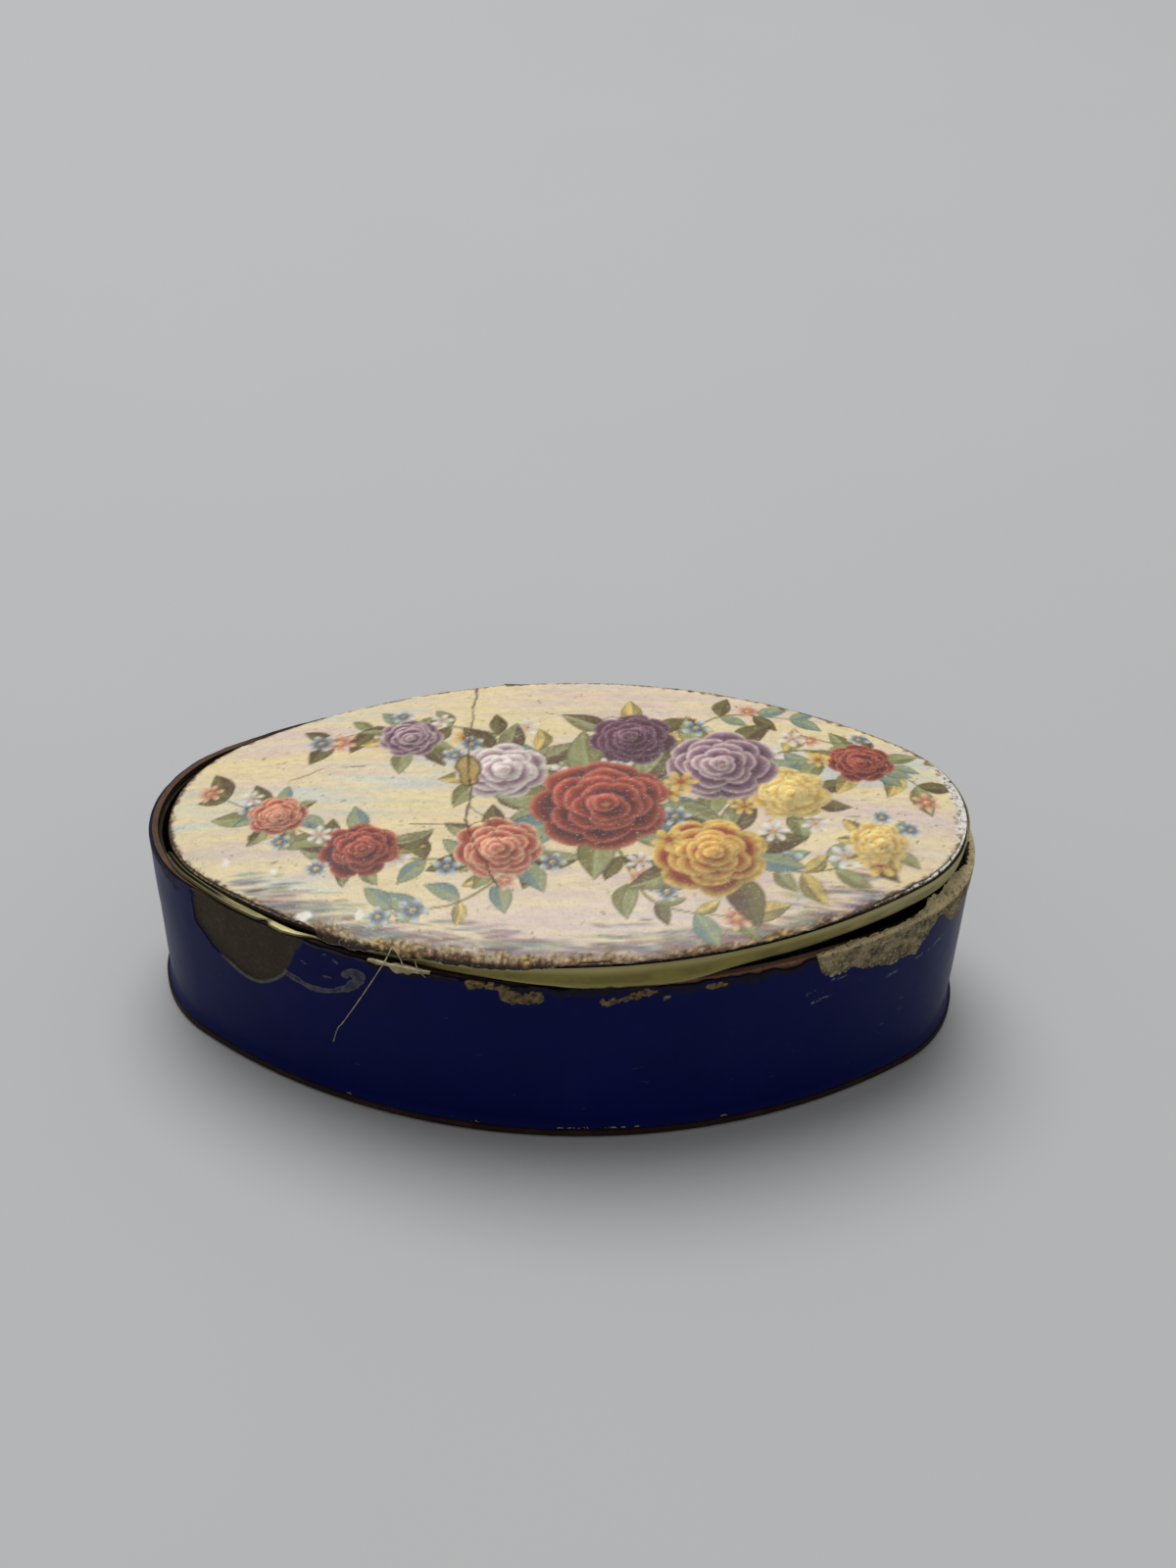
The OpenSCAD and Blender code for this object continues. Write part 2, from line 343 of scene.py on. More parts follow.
class Finish:
    """A material under construction. Constants go on the shader's sockets, the rest comes from nodes."""

    def __init__(self, name, **constants):
        self.material = bpy.data.materials.new(name)
        self.material.use_nodes = True
        self.tree = self.material.node_tree
        self.shader = self.tree.nodes["Principled BSDF"]
        self.colour = None
        for key, value in constants.items():
            self.shader.inputs[key.replace("_", " ")].default_value = value

    def node(self, kind, settings=None, inputs=None, output=0):
        """Adds one node: settings first, then the values or links of its sockets."""
        made = self.tree.nodes.new("ShaderNode" + kind)
        for key, value in (settings or {}).items():
            setattr(made, key, value)
        for key, value in (inputs or {}).items():
            self.feed(made.inputs[key], value)
        return Field(self, made.outputs[output])

    def feed(self, socket, value):
        """Links a field to a socket, or sets a plain value on it."""
        if isinstance(value, Field):
            self.tree.links.new(value.socket, socket)
        elif socket.type == "RGBA":
            socket.default_value = (*value, 1)
        else:
            socket.default_value = value

    def place(self, stretch=(1, 1, 1)):
        """Object coordinates in millimetres, stretched along the axes."""
        coords = self.node("TexCoord", output="Object")
        scale = tuple(k / MM for k in stretch)
        return self.node("Mapping", None, {"Vector": coords, "Scale": scale})

    def lengthwise(self):
        """Distance to the right of the box's middle, in millimetres."""
        return self.node("SeparateXYZ", None, {0: self.place()}, "X")

    def grain(self, size, detail=4.0, rough=0.55, stretch=(1, 1, 1)):
        """Cloudy noise from 0 to 1, with lumps about size millimetres across."""
        inputs = {"Vector": self.place(stretch), "Scale": 1 / size, "Detail": detail, "Roughness": rough}
        return self.node("TexNoise", {"noise_dimensions": "3D"}, inputs, "Fac")

    def cells(self, size):
        """Distance to the nearest of scattered points that lie about size millimetres apart."""
        inputs = {"Vector": self.place(), "Scale": 1 / size}
        return self.node("TexVoronoi", {"feature": "F1"}, inputs, "Distance")

    def value(self, name, output="Fac"):
        """A number or colour stored on the mesh's points."""
        return self.node("Attribute", {"attribute_name": name}, None, output)

    def step(self, field, low, high):
        """Rises from 0 to 1 as a field goes from low to high; falls where low is the greater."""
        inputs = {"Value": field, "From Min": low, "From Max": high}
        return self.node("MapRange", {"interpolation_type": "SMOOTHSTEP"}, inputs)

    def mix(self, factor, first, second, blend="MIX"):
        """Blends two colours."""
        settings = {"data_type": "RGBA", "blend_type": blend}
        return self.node("Mix", settings, {0: factor, 6: first, 7: second}, 2)

    def lay(self, share, colour):
        """Lays a colour over the finish, as thick as the share."""
        self.colour = self.mix(share, self.colour, colour)

    def bump(self, field, depth, strength=1.0):
        """Relief of a field, depth millimetres from 0 to 1."""
        inputs = {"Height": field, "Distance": depth * MM, "Strength": strength}
        self.set(Normal=self.node("Bump", None, inputs))

    def set(self, **fields):
        """Feeds the shader's sockets."""
        for key, value in fields.items():
            self.feed(self.shader.inputs[key.replace("_", " ")], value)
        return self.material


def bare_copper(f, fine):
    """Colour of the copper where the coat is lost: clouds, pale grains, dark pits and wide brown stains."""
    copper = f.mix(f.grain(2.2, 5, 0.65), (0.036, 0.028, 0.018), (0.082, 0.062, 0.040))
    copper = f.mix(f.step(fine, 0.50, 0.72) * 0.5, copper, (0.120, 0.094, 0.064))
    copper = f.mix(f.step(f.grain(0.3, 3), 0.56, 0.70) * 0.5, copper, (0.022, 0.017, 0.011))
    brown = f.step(f.grain(4.5, 4, 0.6, (1, 1, 0.6)), 0.42, 0.66)
    return f.mix(brown * 0.5, copper, (0.040, 0.028, 0.018))


# Distance from the box's middle where a painted sheen starts to pale the blue, and where it is full
SHEEN_FROM = 24
SHEEN_FULL = 44


def blue_enamel():
    """Cobalt enamel over copper: deep gloss, a painted sheen towards the ends, scuffs, pale specks, painted
    shadow under the rim with a dark stain, glue and residue.
    """
    f = Finish("blue_enamel", Specular_IOR_Level=0.06)
    cloud = f.grain(9, 3)
    fine = f.grain(0.5, 3)
    f.colour = f.mix(cloud, (0.0005, 0.0025, 0.052), (0.0012, 0.0048, 0.090))
    haze = f.step(f.grain(14, 4, 0.6, (1, 1, 0.5)), 0.5, 0.8)
    f.lay(haze * 0.06, (0.04, 0.05, 0.10))
    # Paler blue towards both ends, in clouds: a painted sheen standing for the floor's reflection in the
    # curved ends
    lengthwise = f.lengthwise()
    end_sheen = f.step(lengthwise * lengthwise, SHEEN_FROM ** 2, SHEEN_FULL ** 2) * (0.7 + cloud * 0.6)
    f.lay(end_sheen * 0.22, (0.040, 0.053, 0.128))
    scuff = f.step(f.grain(0.7, 2, 0.5, (0.25, 0.25, 1.6)), 0.70, 0.76) * f.step(f.grain(6, 2), 0.52, 0.62)
    speck = f.step(f.cells(1.9), 0.055, 0.03) * f.step(f.grain(3.1, 2), 0.5, 0.56)
    f.lay(f.step(scuff + speck, 0.1, 0.9) * 0.35, (0.16, 0.17, 0.20))
    # Near-black under the rim and beside the lost patch's left edge: painted shadow; the smudge left of the
    # patch is a real stain.
    shadow_and_stain = f.step(f.value("shadow_and_stain") + f.grain(1.3, 5, 0.7) * 2.0, 1.55, 1.95)
    f.lay(shadow_and_stain * 0.8, f.mix(fine, (0.004, 0.004, 0.006), (0.026, 0.020, 0.016)))
    border = f.step(f.value("edge"), 0.05, 0.6)
    f.lay(border * 0.8, f.mix(fine, (0.060, 0.055, 0.042), (0.24, 0.22, 0.165)))
    bare = f.step(f.value("bare"), 0.4, 0.6)
    f.lay(bare, bare_copper(f, fine))
    residue = f.step(f.value("residue") + f.grain(0.45, 4, 0.7) * 0.9, 0.75, 1.05)
    ochre = f.mix(f.step(f.grain(0.8, 4, 0.7), 0.3, 0.7), (0.050, 0.036, 0.015), (0.29, 0.205, 0.085))
    f.lay(residue * 0.88, ochre)
    glue = f.step(f.value("glue"), 0.1, 0.9)
    film = glue * (0.20 + f.step(f.grain(0.9, 4), 0.35, 0.65) * 0.36 + (1 - glue) * 1.5)
    f.lay(film, f.mix(fine, (0.10, 0.094, 0.078), (0.25, 0.23, 0.18)))
    scratch = f.value("scratch") * f.step(f.grain(0.35, 3), 0.40, 0.60)
    f.lay(scratch * 0.55, (0.26, 0.28, 0.34))
    chip = f.step(f.value("chip") * f.step(f.grain(0.5, 4, 0.7), 0.36, 0.54), 0.3, 0.6)
    f.lay(chip * 0.8, f.mix(fine, (0.19, 0.16, 0.12), (0.50, 0.46, 0.40)))
    dull = f.step(bare * 0.6 + residue + chip + border * 0.5 + shadow_and_stain * 0.6, 0.0, 1.0)
    rough = 0.24 + cloud * 0.16 + scuff * 0.3 + dull * 0.35
    f.bump(cloud * 0.7 + fine * (0.05 + dull * 0.5), 0.05, 0.6)
    return f.set(Base_Color=f.colour, Roughness=rough)


def painted_enamel():
    """Paint fired on white enamel: strokes kept on the mesh, streaks, grains of wear, dirty pits, gloss."""
    f = Finish("painted_enamel", Specular_IOR_Level=0.3)
    paint = f.value("paint", "Color")
    fine = f.grain(0.30, 4, 0.7)
    streak = f.grain(0.6, 3, 0.6, (0.5, 1, 1))
    shade = f.mix(f.step(streak, 0.25, 0.75), (0.90, 0.895, 0.885), (1.06, 1.06, 1.055))
    f.colour = f.mix(1.0, paint, shade, "MULTIPLY")
    dust = f.step(fine, 0.52, 0.70)
    f.lay(dust * 0.42, f.mix(0.55, paint, (0.09, 0.068, 0.042)))
    pit = f.step(f.cells(0.9), 0.10, 0.05) * f.step(f.grain(2.3, 2), 0.50, 0.56)
    f.lay(pit * 0.7, (0.09, 0.065, 0.04))
    pale = f.step(f.grain(0.34, 3, 0.6), 0.58, 0.72)
    f.lay(pale * 0.30, (0.80, 0.76, 0.66))
    worn = f.value("worn")
    rough = 0.36 + streak * 0.18 + worn * 0.3
    f.bump(streak * 0.5 + fine * 0.5 - pit * 0.6, 0.035, 0.6)
    return f.set(Base_Color=f.colour, Roughness=rough, Coat_Weight=(1 - worn) * 0.06)


def band_brass():
    """The band's thin brass: pale olive, warmer at the front, brown tarnish in its fold and in clouds,
    painted light and shade.
    """
    f = Finish("band_brass", Specular_IOR_Level=0.5)
    cloud = f.grain(7, 3, 0.5)
    fine = f.grain(0.3, 3)
    left = f.value("left")
    rise = f.value("rise")
    f.colour = f.mix(cloud, (0.34, 0.29, 0.12), (0.48, 0.43, 0.22))
    warm = f.mix(cloud, (0.215, 0.178, 0.036), (0.30, 0.255, 0.066))
    f.lay(f.value("front") * 0.8, warm)
    # The loose left part, down in the gap beside the lid, is darker: painted shade, lifted where it curls
    # up onto the rim
    f.lay(left * 0.9, f.mix(cloud, (0.075, 0.062, 0.026), (0.20, 0.175, 0.085)))
    # Painted highlights: paler lines along the band's top and bottom edges, away from the loose left part
    edge_highlight = f.step(rise, 0.74, 0.94) * 0.55 + f.step(rise, 0.20, 0.05) * 0.45
    bright = f.mix(cloud, (0.40, 0.35, 0.14), (0.60, 0.55, 0.30))
    f.lay(edge_highlight * (1 - left), bright)
    # Painted shade: a darker middle between the highlighted edges, in clouds
    middle_shade = f.step(rise, 0.80, 0.62) * f.step(rise, 0.18, 0.40) * f.step(f.grain(3.4, 3), 0.36, 0.62)
    f.lay(middle_shade * 0.45, (0.095, 0.078, 0.024))
    tarnish = f.step(f.grain(1.8, 4, 0.65), 0.60, 0.74)
    f.lay(tarnish * 0.45, (0.13, 0.10, 0.040))
    fold = f.step(f.value("fold"), 0.2, 0.8)
    f.lay(fold * 0.92, (0.012, 0.010, 0.006))
    rough = 0.40 + tarnish * 0.2 + fine * 0.10 + fold * 0.3
    f.bump(cloud * 0.6 + fine * 0.15, 0.04, 0.5)
    return f.set(Base_Color=f.colour, Roughness=rough, Metallic=0.85 - tarnish * 0.3 - fold * 0.6)


def dull_brass():
    """The hinge's brass: brown and green tarnish in clouds, a few rubbed places, dark spots."""
    f = Finish("dull_brass", Specular_IOR_Level=0.5)
    cloud = f.grain(2.6, 4, 0.6)
    fine = f.grain(0.25, 3)
    f.colour = f.mix(f.step(cloud, 0.30, 0.72), (0.16, 0.13, 0.045), (0.40, 0.35, 0.15))
    tarnish = f.step(f.grain(1.4, 5, 0.7), 0.44, 0.60)
    f.lay(tarnish * 0.8, (0.055, 0.044, 0.020))
    spot = f.step(f.cells(1.2), 0.16, 0.06)
    f.lay(spot * 0.6, (0.05, 0.045, 0.03))
    rough = 0.26 + tarnish * 0.34 + fine * 0.12
    f.bump(cloud * 0.5 + fine * 0.3 - spot * 0.3, 0.03, 0.7)
    return f.set(Base_Color=f.colour, Roughness=rough, Metallic=0.95 - tarnish * 0.5)


# How far a rubbed stretch of lip fades out past its left and its right end
LIP_FADE_LEFT = 5
LIP_FADE_RIGHT = 4


def old_metal(name, low, high, warm, lips=()):
    """Oxidised copper or brass: dark clouds, metal rubbed bright on lumps and on stretches of lip, pits."""
    f = Finish(name, Specular_IOR_Level=0.2)
    cloud = f.grain(1.8, 5, 0.65)
    fine = f.grain(0.22, 3)
    f.colour = f.mix(cloud, low, high)
    rub = f.step(f.grain(3.5, 3), 0.50, 0.66) * f.step(fine, 0.40, 0.62)
    f.lay(rub * 0.7, warm)
    for start, end, shown in lips:
        x = f.lengthwise()
        bright = f.step(x, start - LIP_FADE_LEFT, start) * f.step(x, end + LIP_FADE_RIGHT, end)
        f.lay(bright * shown, f.mix(cloud, (0.16, 0.082, 0.048), (0.45, 0.25, 0.155)))
    pit = f.step(f.cells(0.7), 0.20, 0.08)
    f.lay(pit * 0.6, (0.012, 0.009, 0.007))
    rough = 0.52 + fine * 0.25
    f.bump(cloud * 0.5 + fine * 0.4 - pit * 0.4, 0.04, 0.7)
    return f.set(Base_Color=f.colour, Roughness=rough, Metallic=0.35 + rub * 0.4)


def counter_enamel():
    """Blue-black counter enamel: glossy, speckled with paler grains of frit, pinholes."""
    f = Finish("counter_enamel", Specular_IOR_Level=0.4)
    cloud = f.grain(5, 4)
    f.colour = f.mix(cloud, (0.006, 0.007, 0.016), (0.014, 0.017, 0.040))
    frit = f.step(f.cells(0.9), 0.22, 0.10) * f.step(f.grain(2, 2), 0.45, 0.60)
    f.lay(frit * 0.5, (0.09, 0.10, 0.15))
    pinhole = f.step(f.cells(2.4), 0.06, 0.03)
    f.bump(cloud * 0.6 + f.grain(1.2, 2) * 0.4 - pinhole, 0.06, 0.6)
    return f.set(Base_Color=f.colour, Roughness=0.16 + cloud * 0.16 + frit * 0.1)


def white_ground():
    """White ground enamel at the lid's border: clean in the right end's chips, stained brown elsewhere."""
    f = Finish("white_ground", Specular_IOR_Level=0.35)
    cloud = f.grain(1.6, 5, 0.65)
    fine = f.grain(0.2, 3)
    clean = f.step(f.lengthwise() + f.grain(0.8, 5, 0.75) * 60, 64, 72)
    white = f.mix(cloud, (0.66, 0.63, 0.56), (0.84, 0.83, 0.80))
    stain = f.mix(f.step(f.grain(0.5, 5, 0.75), 0.44, 0.66), (0.030, 0.019, 0.010), (0.34, 0.24, 0.125))
    f.colour = f.mix(clean, stain, white)
    dirt = f.step(f.grain(0.6, 5, 0.75), 0.50, 0.60)
    f.lay(dirt * (0.85 - clean * 0.40), (0.055, 0.032, 0.017))
    f.bump(cloud * 0.4 + fine * 0.6, 0.06, 0.8)
    return f.set(Base_Color=f.colour, Roughness=0.45 + fine * 0.3)


def old_cement():
    """Old cement: olive-beige crust, paler on its ledge, brown and grey stains, sandy grain and pits."""
    f = Finish("old_cement", Specular_IOR_Level=0.25)
    cloud = f.grain(1.6, 5, 0.7)
    sand = f.grain(0.42, 4, 0.7)
    f.colour = f.mix(f.step(cloud, 0.38, 0.62), (0.090, 0.072, 0.038), (0.34, 0.275, 0.15))
    pale = f.mix(cloud, (0.44, 0.345, 0.165), (0.84, 0.70, 0.41))
    f.lay(f.value("ledge") * 0.8, pale)
    brown = f.step(f.grain(2.4, 4, 0.6), 0.54, 0.68)
    f.lay(brown * 0.35, (0.13, 0.095, 0.046))
    grey = f.step(f.grain(3.1, 3, 0.6), 0.56, 0.70)
    f.lay(grey * 0.25, (0.17, 0.165, 0.14))
    pit = f.step(f.cells(0.5), 0.22, 0.08)
    f.lay(pit * 0.5, (0.045, 0.036, 0.020))
    f.lay(f.step(sand, 0.52, 0.66) * 0.6, (0.60, 0.51, 0.32))
    f.lay(f.step(sand, 0.46, 0.36) * 0.6, (0.070, 0.054, 0.028))
    f.bump(cloud * 0.5 + sand * 0.8 - pit * 0.6, 0.14, 1.0)
    return f.set(Base_Color=f.colour, Roughness=0.60 + sand * 0.3)


def dull_steel():
    """The pin's steel: drawn lines along it, spots of rust."""
    f = Finish("dull_steel", Specular_IOR_Level=0.5)
    line = f.grain(0.1, 2, 0.5, (0.05, 1, 1))
    f.colour = f.mix(line, (0.20, 0.195, 0.185), (0.36, 0.355, 0.345))
    rust = f.step(f.grain(0.5, 4, 0.7), 0.56, 0.68)
    f.lay(rust, (0.11, 0.055, 0.025))
    f.bump(line + rust * 0.5, 0.02, 0.5)
    return f.set(Base_Color=f.colour, Roughness=0.34 + rust * 0.4, Metallic=1 - rust)


def dried_glue():
    """Dried glue: pale straw film and thread, cloudy, with dust in it."""
    f = Finish("dried_glue", Specular_IOR_Level=0.4)
    cloud = f.grain(0.8, 4, 0.65)
    f.colour = f.mix(f.step(cloud, 0.3, 0.7), (0.24, 0.19, 0.085), (0.58, 0.51, 0.32))
    dust = f.step(f.grain(0.35, 4, 0.7), 0.56, 0.70)
    f.lay(dust * 0.5, (0.12, 0.09, 0.045))
    f.bump(cloud, 0.05, 0.6)
    return f.set(Base_Color=f.colour, Roughness=0.34 + cloud * 0.25)


# Where the rim's copper is rubbed bright: stretches along the length, and how much
RIM_LIPS = [(14, 28, 0.85), (-60, -38, 0.26)]
# Wear on the wall, as (arc from the front middle, height) in millimetres
LOST_COAT = [
    (-41.2, 23.5), (-40.8, 21.4), (-40.9, 17.8), (-39.5, 15.9), (-38.2, 14.8), (-36.2, 13.9), (-34.7, 13.2),
    (-32.8, 13.1), (-31.0, 14.1), (-29.4, 15.6), (-28.1, 17.7), (-27.2, 19.8), (-26.3, 21.4), (-26.0, 23.5),
]
GLUE_HOOK = [
    (-28.7, 16.5), (-27.0, 16.0), (-25.3, 15.6), (-23.2, 16.1), (-21.3, 17.2), (-19.9, 18.7), (-19.6, 19.5),
    (-20.2, 19.8), (-21.1, 19.4), (-21.5, 19.0),
]
GLUE_MARKS = [
    ((-26.4, 19.1), (-26.0, 18.8)), ((-24.2, 20.9), (-23.5, 21.1)), ((-23.8, 18.0), (-23.1, 18.0)),
    ((-22.6, 20.7), (-22.2, 20.5)),
]
SCRATCHES = [
    ((30.0, 18.0), (30.7, 18.1)), ((31.0, 17.9), (31.5, 18.0)), ((37.1, 15.4), (38.5, 15.6)),
    ((42.7, 16.5), (43.7, 16.7)), ((43.9, 17.0), (44.9, 17.2)), ((41.1, 16.1), (41.8, 16.3)),
    ((28.0, 15.4), (29.0, 15.6)), ((29.0, 15.7), (30.1, 15.8)), ((27.3, 16.9), (28.0, 17.1)),
]
RESIDUES = [
    [(-8.7, 21.8), (-7.9, 20.9), (-6.5, 21.1), (-4.7, 20.9), (-4.6, 21.5), (-6.3, 21.9)],
    [(-5.1, 20.5), (-4.4, 19.4), (-2.0, 19.4), (-0.7, 19.8), (-0.6, 20.8), (-1.4, 21.2), (-2.5, 20.8),
     (-3.9, 21.2)],
    [(5.2, 20.0), (5.9, 19.5), (8.0, 20.2), (9.2, 20.4), (10.8, 21.1), (10.4, 21.4), (8.8, 21.2),
     (7.2, 20.5)],
    [(15.8, 21.0), (16.8, 20.6), (18.0, 21.0), (17.2, 21.4)],
    [(11.4, 20.2), (12.0, 19.9), (12.6, 20.3), (12.0, 20.5)],
]
# Loss of the coat along its top edge, and chips along its foot as (arc, half width), all of one height
TOP_LOSS = [
    (-80, 0.05), (-45, 0.1), (-20, 0.15), (-9, 0.5), (0, 0.45), (14, 0.35), (18, 0.5), (30, 0.55),
    (60, 0.5), (80, 0.1),
]
FOOT_CHIPS = [
    (-7.8, 0.5), (1.4, 0.3), (2.6, 0.35), (3.9, 0.6), (6.7, 0.7), (8.1, 0.25), (9.6, 0.45), (-22.0, 0.3),
    (19.0, 0.4),
]
FOOT_CHIP_H = 0.17
# Columns of the coat's grid: close ones over the front and the ends, wider ones at the back and the notch
FINE_REACH = 76
FINE_STEP = 0.2
BACK_COLUMNS = 34
NOTCH_COLUMNS = 12
# Half the slope's width where the coat's top steps down into the hinge notch
NOTCH_SLOPE = 0.01
# Rows of the grid: the flare, the wall up to MIDDLE_Z, closer ones above it, and the coat's back
MIDDLE_Z = 12
FLARE_ROWS = 12
LOWER_ROWS = 16
UPPER_ROWS = 48
BACK_ROWS = 16
# How strongly the back's rows crowd towards the foot, and the step in and up that rounds the top edge
BACK_CROWDING = 1.6
TOP_ROUND = (-0.12, 0.03)
# Depth of the lost patch and of a chip, and rise of residue and of glue
BARE_DEPTH = 0.28
CHIP_DEPTH = 0.12
RESIDUE_RISE = 0.06
GLUE_RISE = 0.10


def coat_grid():
    """Arc and height of the points on the coat's outer face, and the height of its ragged top edge."""
    notch = RIM.half_round - NOTCH
    front = np.arange(-FINE_REACH, FINE_REACH + FINE_STEP / 2, FINE_STEP)
    back = np.linspace(FINE_REACH + 4 * FINE_STEP, notch - NOTCH_SLOPE, BACK_COLUMNS)
    hinge = np.linspace(notch + NOTCH_SLOPE, RIM.half_round, NOTCH_COLUMNS)
    right = np.concatenate([back, hinge])
    arc = np.concatenate([-right[::-1], front, right[:-1]])[None, :]
    flare = np.linspace(COAT_LOW, FLARE_Z, FLARE_ROWS, endpoint=False)
    lower = np.linspace(FLARE_Z, MIDDLE_Z, LOWER_ROWS, endpoint=False)
    upper = np.linspace(MIDDLE_Z, COAT_TOP, UPPER_ROWS)
    level = np.concatenate([flare, lower, upper])[:, None]
    loss = along(TOP_LOSS, arc) * np.clip(0.35 + ragged(arc * 0.7, 0, 3) * 1.3, 0, 1.3)
    top = np.where(np.abs(arc) > notch, NOTCH_Z, COAT_TOP - loss)
    drawn = MIDDLE_Z + (level - MIDDLE_Z) * (top - MIDDLE_Z) / (COAT_TOP - MIDDLE_Z)
    z = np.where(level > MIDDLE_Z, drawn, level)
    return np.broadcast_to(arc, z.shape), z, top


def coat_wear(s, z, top):
    """Fields of wear and of painted shadow over the coat, from 0 to 1: distances from the marks' outlines,
    shaken by noise.
    """
    shake = 0.14 * ragged(s * 1.6, z * 1.6, 5)
    lost = inside_distance(s, z, rounded(LOST_COAT)) + 0.5 * shake
    bare = smooth(-0.05, 0.12, lost)
    crust = np.max([inside_distance(s, z, rounded(loop)) for loop in RESIDUES], axis=0)
    residue = smooth(-0.3, 0.3, crust + 2.5 * shake + 0.35 * ragged(s * 3.5, z * 3.5, 14))
    hook = line_distance(s, z, rounded(GLUE_HOOK, closed=False)) - 0.18 * smooth(-22.5, -20.5, s)
    film = np.minimum(hook, nearest_line(s, z, GLUE_MARKS) + 0.26) + 1.5 * shake
    glue = smooth(0.50, 0.14, film) * (1 - bare)
    lines = nearest_line(s, z, SCRATCHES)
    scratch = smooth(0.22, 0.06, lines + shake + 0.10 * noise(s * 5, z * 5, 9))
    up = (z - COAT_LOW) / FOOT_CHIP_H
    chips = np.min([np.hypot((s - at) / half, up) for at, half in FOOT_CHIPS], axis=0)
    chip = smooth(1.3, 0.8, chips + 3 * shake)
    beside = smooth(-0.45, -0.05, lost) * (1 - bare)
    edge = beside * smooth(17.5, 15.5, z) * smooth(-38.5, -36, s)
    # A dark band under the rim, deepest at the front where the band hangs out over it: painted shadow of
    # the lid's edge and the band. With it go the coat's darkened top edge, painted shadow along the lost
    # patch's left edge, and a real dark stain left of the patch.
    depth = 1.5 + 1.3 * smooth(-6, 2, s) * smooth(26, 18, s)
    shadow_and_stain = smooth(depth, 0.1, top - z) * smooth(-26, -18, s) * smooth(62, 40, s)
    stain = smooth(2.2, 0.4, np.hypot((s + 45.5) * 0.4, z - 21.2) + 0.8 * ragged(s * 0.8, z * 0.8, 10))
    lip = smooth(0.35, 0.15, top - z)
    shadow_and_stain = np.max([shadow_and_stain, 0.8 * stain, lip, beside * smooth(-36, -39.5, s)], axis=0) * (1 - bare)
    return {"bare": bare, "residue": residue, "glue": glue, "chip": chip, "edge": edge, "shadow_and_stain": shadow_and_stain,
            "scratch": scratch}


def enamel_coat():
    """The blue coat: a thin closed ring over a grid of arc by height.

    Its outer face follows the wall with a slow wave, sinks to the copper inside the lost patch, swells
    under old residue, and breaks off raggedly at the top. Its back lies just clear of the copper.
    """
    s, z, top = coat_grid()
    wear = coat_wear(s, z, top)
    wave = 0.035 * noise(s * 0.13, z * 0.2, 11) + 0.012 * noise(s * 0.6, z * 0.6, 12)
    residue = RESIDUE_RISE * wear["residue"] * (1 + ragged(s * 2, z * 2, 13))
    sunk = BARE_DEPTH * wear["bare"] + CHIP_DEPTH * wear["chip"]
    relief = wave + residue + GLUE_RISE * wear["glue"] - sunk
    outer = np.stack([wall_offset(z) + relief, z], -1)
    rim = outer[-1:] + TOP_ROUND
    low = np.linspace(0, 1, BACK_ROWS)[::-1, None]
    inner_z = COAT_LOW + low ** BACK_CROWDING * (top - COAT_LOW)
    inner = np.stack([wall_offset(inner_z) - COAT_BACK, inner_z], -1)
    section = np.concatenate([outer, rim, inner])
    points = on_wall(np.broadcast_to(s[:1], section.shape[:2]), section[..., 0], section[..., 1])
    hidden = len(section) - len(outer)
    values = {key: np.concatenate([field, np.repeat(field[-1:], hidden, 0)]) for key, field in wear.items()}
    faces = grid_faces(*section.shape[:2], True, True)
    make_piece("enamel_coat", points, faces, blue_enamel(), "body", ["outer_enamel"], values)


# Colours of the painted lid, as seen: sRGB from 0 to 255
CREAM = (231, 213, 172)
BUFF = (222, 198, 152)
SAND = (236, 215, 156)
LILAC = (216, 196, 190)
MIST = (199, 208, 203)
PEACH = (233, 190, 150)
WINE = (92, 48, 54)
RUSSET = (150, 66, 46)
ROSE = (196, 116, 98)
PLUM = (96, 66, 84)
MAUVE = (150, 116, 128)
OCHRE = (204, 158, 78)
STRAW = (232, 200, 116)
OLIVE = (116, 110, 62)
SAGE = (158, 162, 116)
TEAL = (104, 130, 134)
SLATE = (92, 104, 130)
UMBER = (88, 66, 46)
WHITE = (236, 231, 220)
# Colours of its wear
SOOT = (52, 40, 30)
RUST = (126, 70, 38)
# The dark of the front lip stands for the lid's dark copper edge, with painted shadow under the spilled
# crust
LIP_DARK_AND_SHADOW = (44, 31, 22)
BARE_GROUND = (178, 152, 96)
LOSS_RIM = (96, 76, 42)
CRACK_TONE = (70, 56, 42)
HAIR_TONE = (98, 78, 54)
# Wear on the lid, in millimetres on the level lid
CRACK = [
    (-11.3, 23), (-11.4, 13.5), (-11.2, 8.1), (-10.5, 2.8), (-10.3, -3.2), (-9.2, -7.4), (-7.8, -10.2),
    (-6.2, -14.0),
]
HAIRLINES = [
    [(-19.5, -4.4), (-16.2, -3.9), (-9.9, -3.9), (-1.6, -1.8), (6.9, -1.8), (13.2, -3.4)],
    [(-10.4, -0.6), (-7.9, -3.4), (-6.9, -6.2), (-4.4, -9.6)],
    [(-3.0, 16.5), (3.5, 15.2), (9.0, 15.9)],
    [(26.0, 12.6), (29.5, 11.0), (34.0, 11.6)],
    [(20.5, -1.6), (25.0, -3.0), (31.5, -2.4)],
    [(-30.5, 3.6), (-27.0, 5.8), (-22.5, 6.2)],
]
LOST_PAINT = [
    (-11.2, 8.2), (-9.9, 6.9), (-9.5, 5.6), (-9.8, 4.4), (-9.8, 3.2), (-10.7, 2.6), (-11.6, 3.3),
    (-11.8, 4.7), (-12.4, 5.9), (-12.2, 7.4),
]
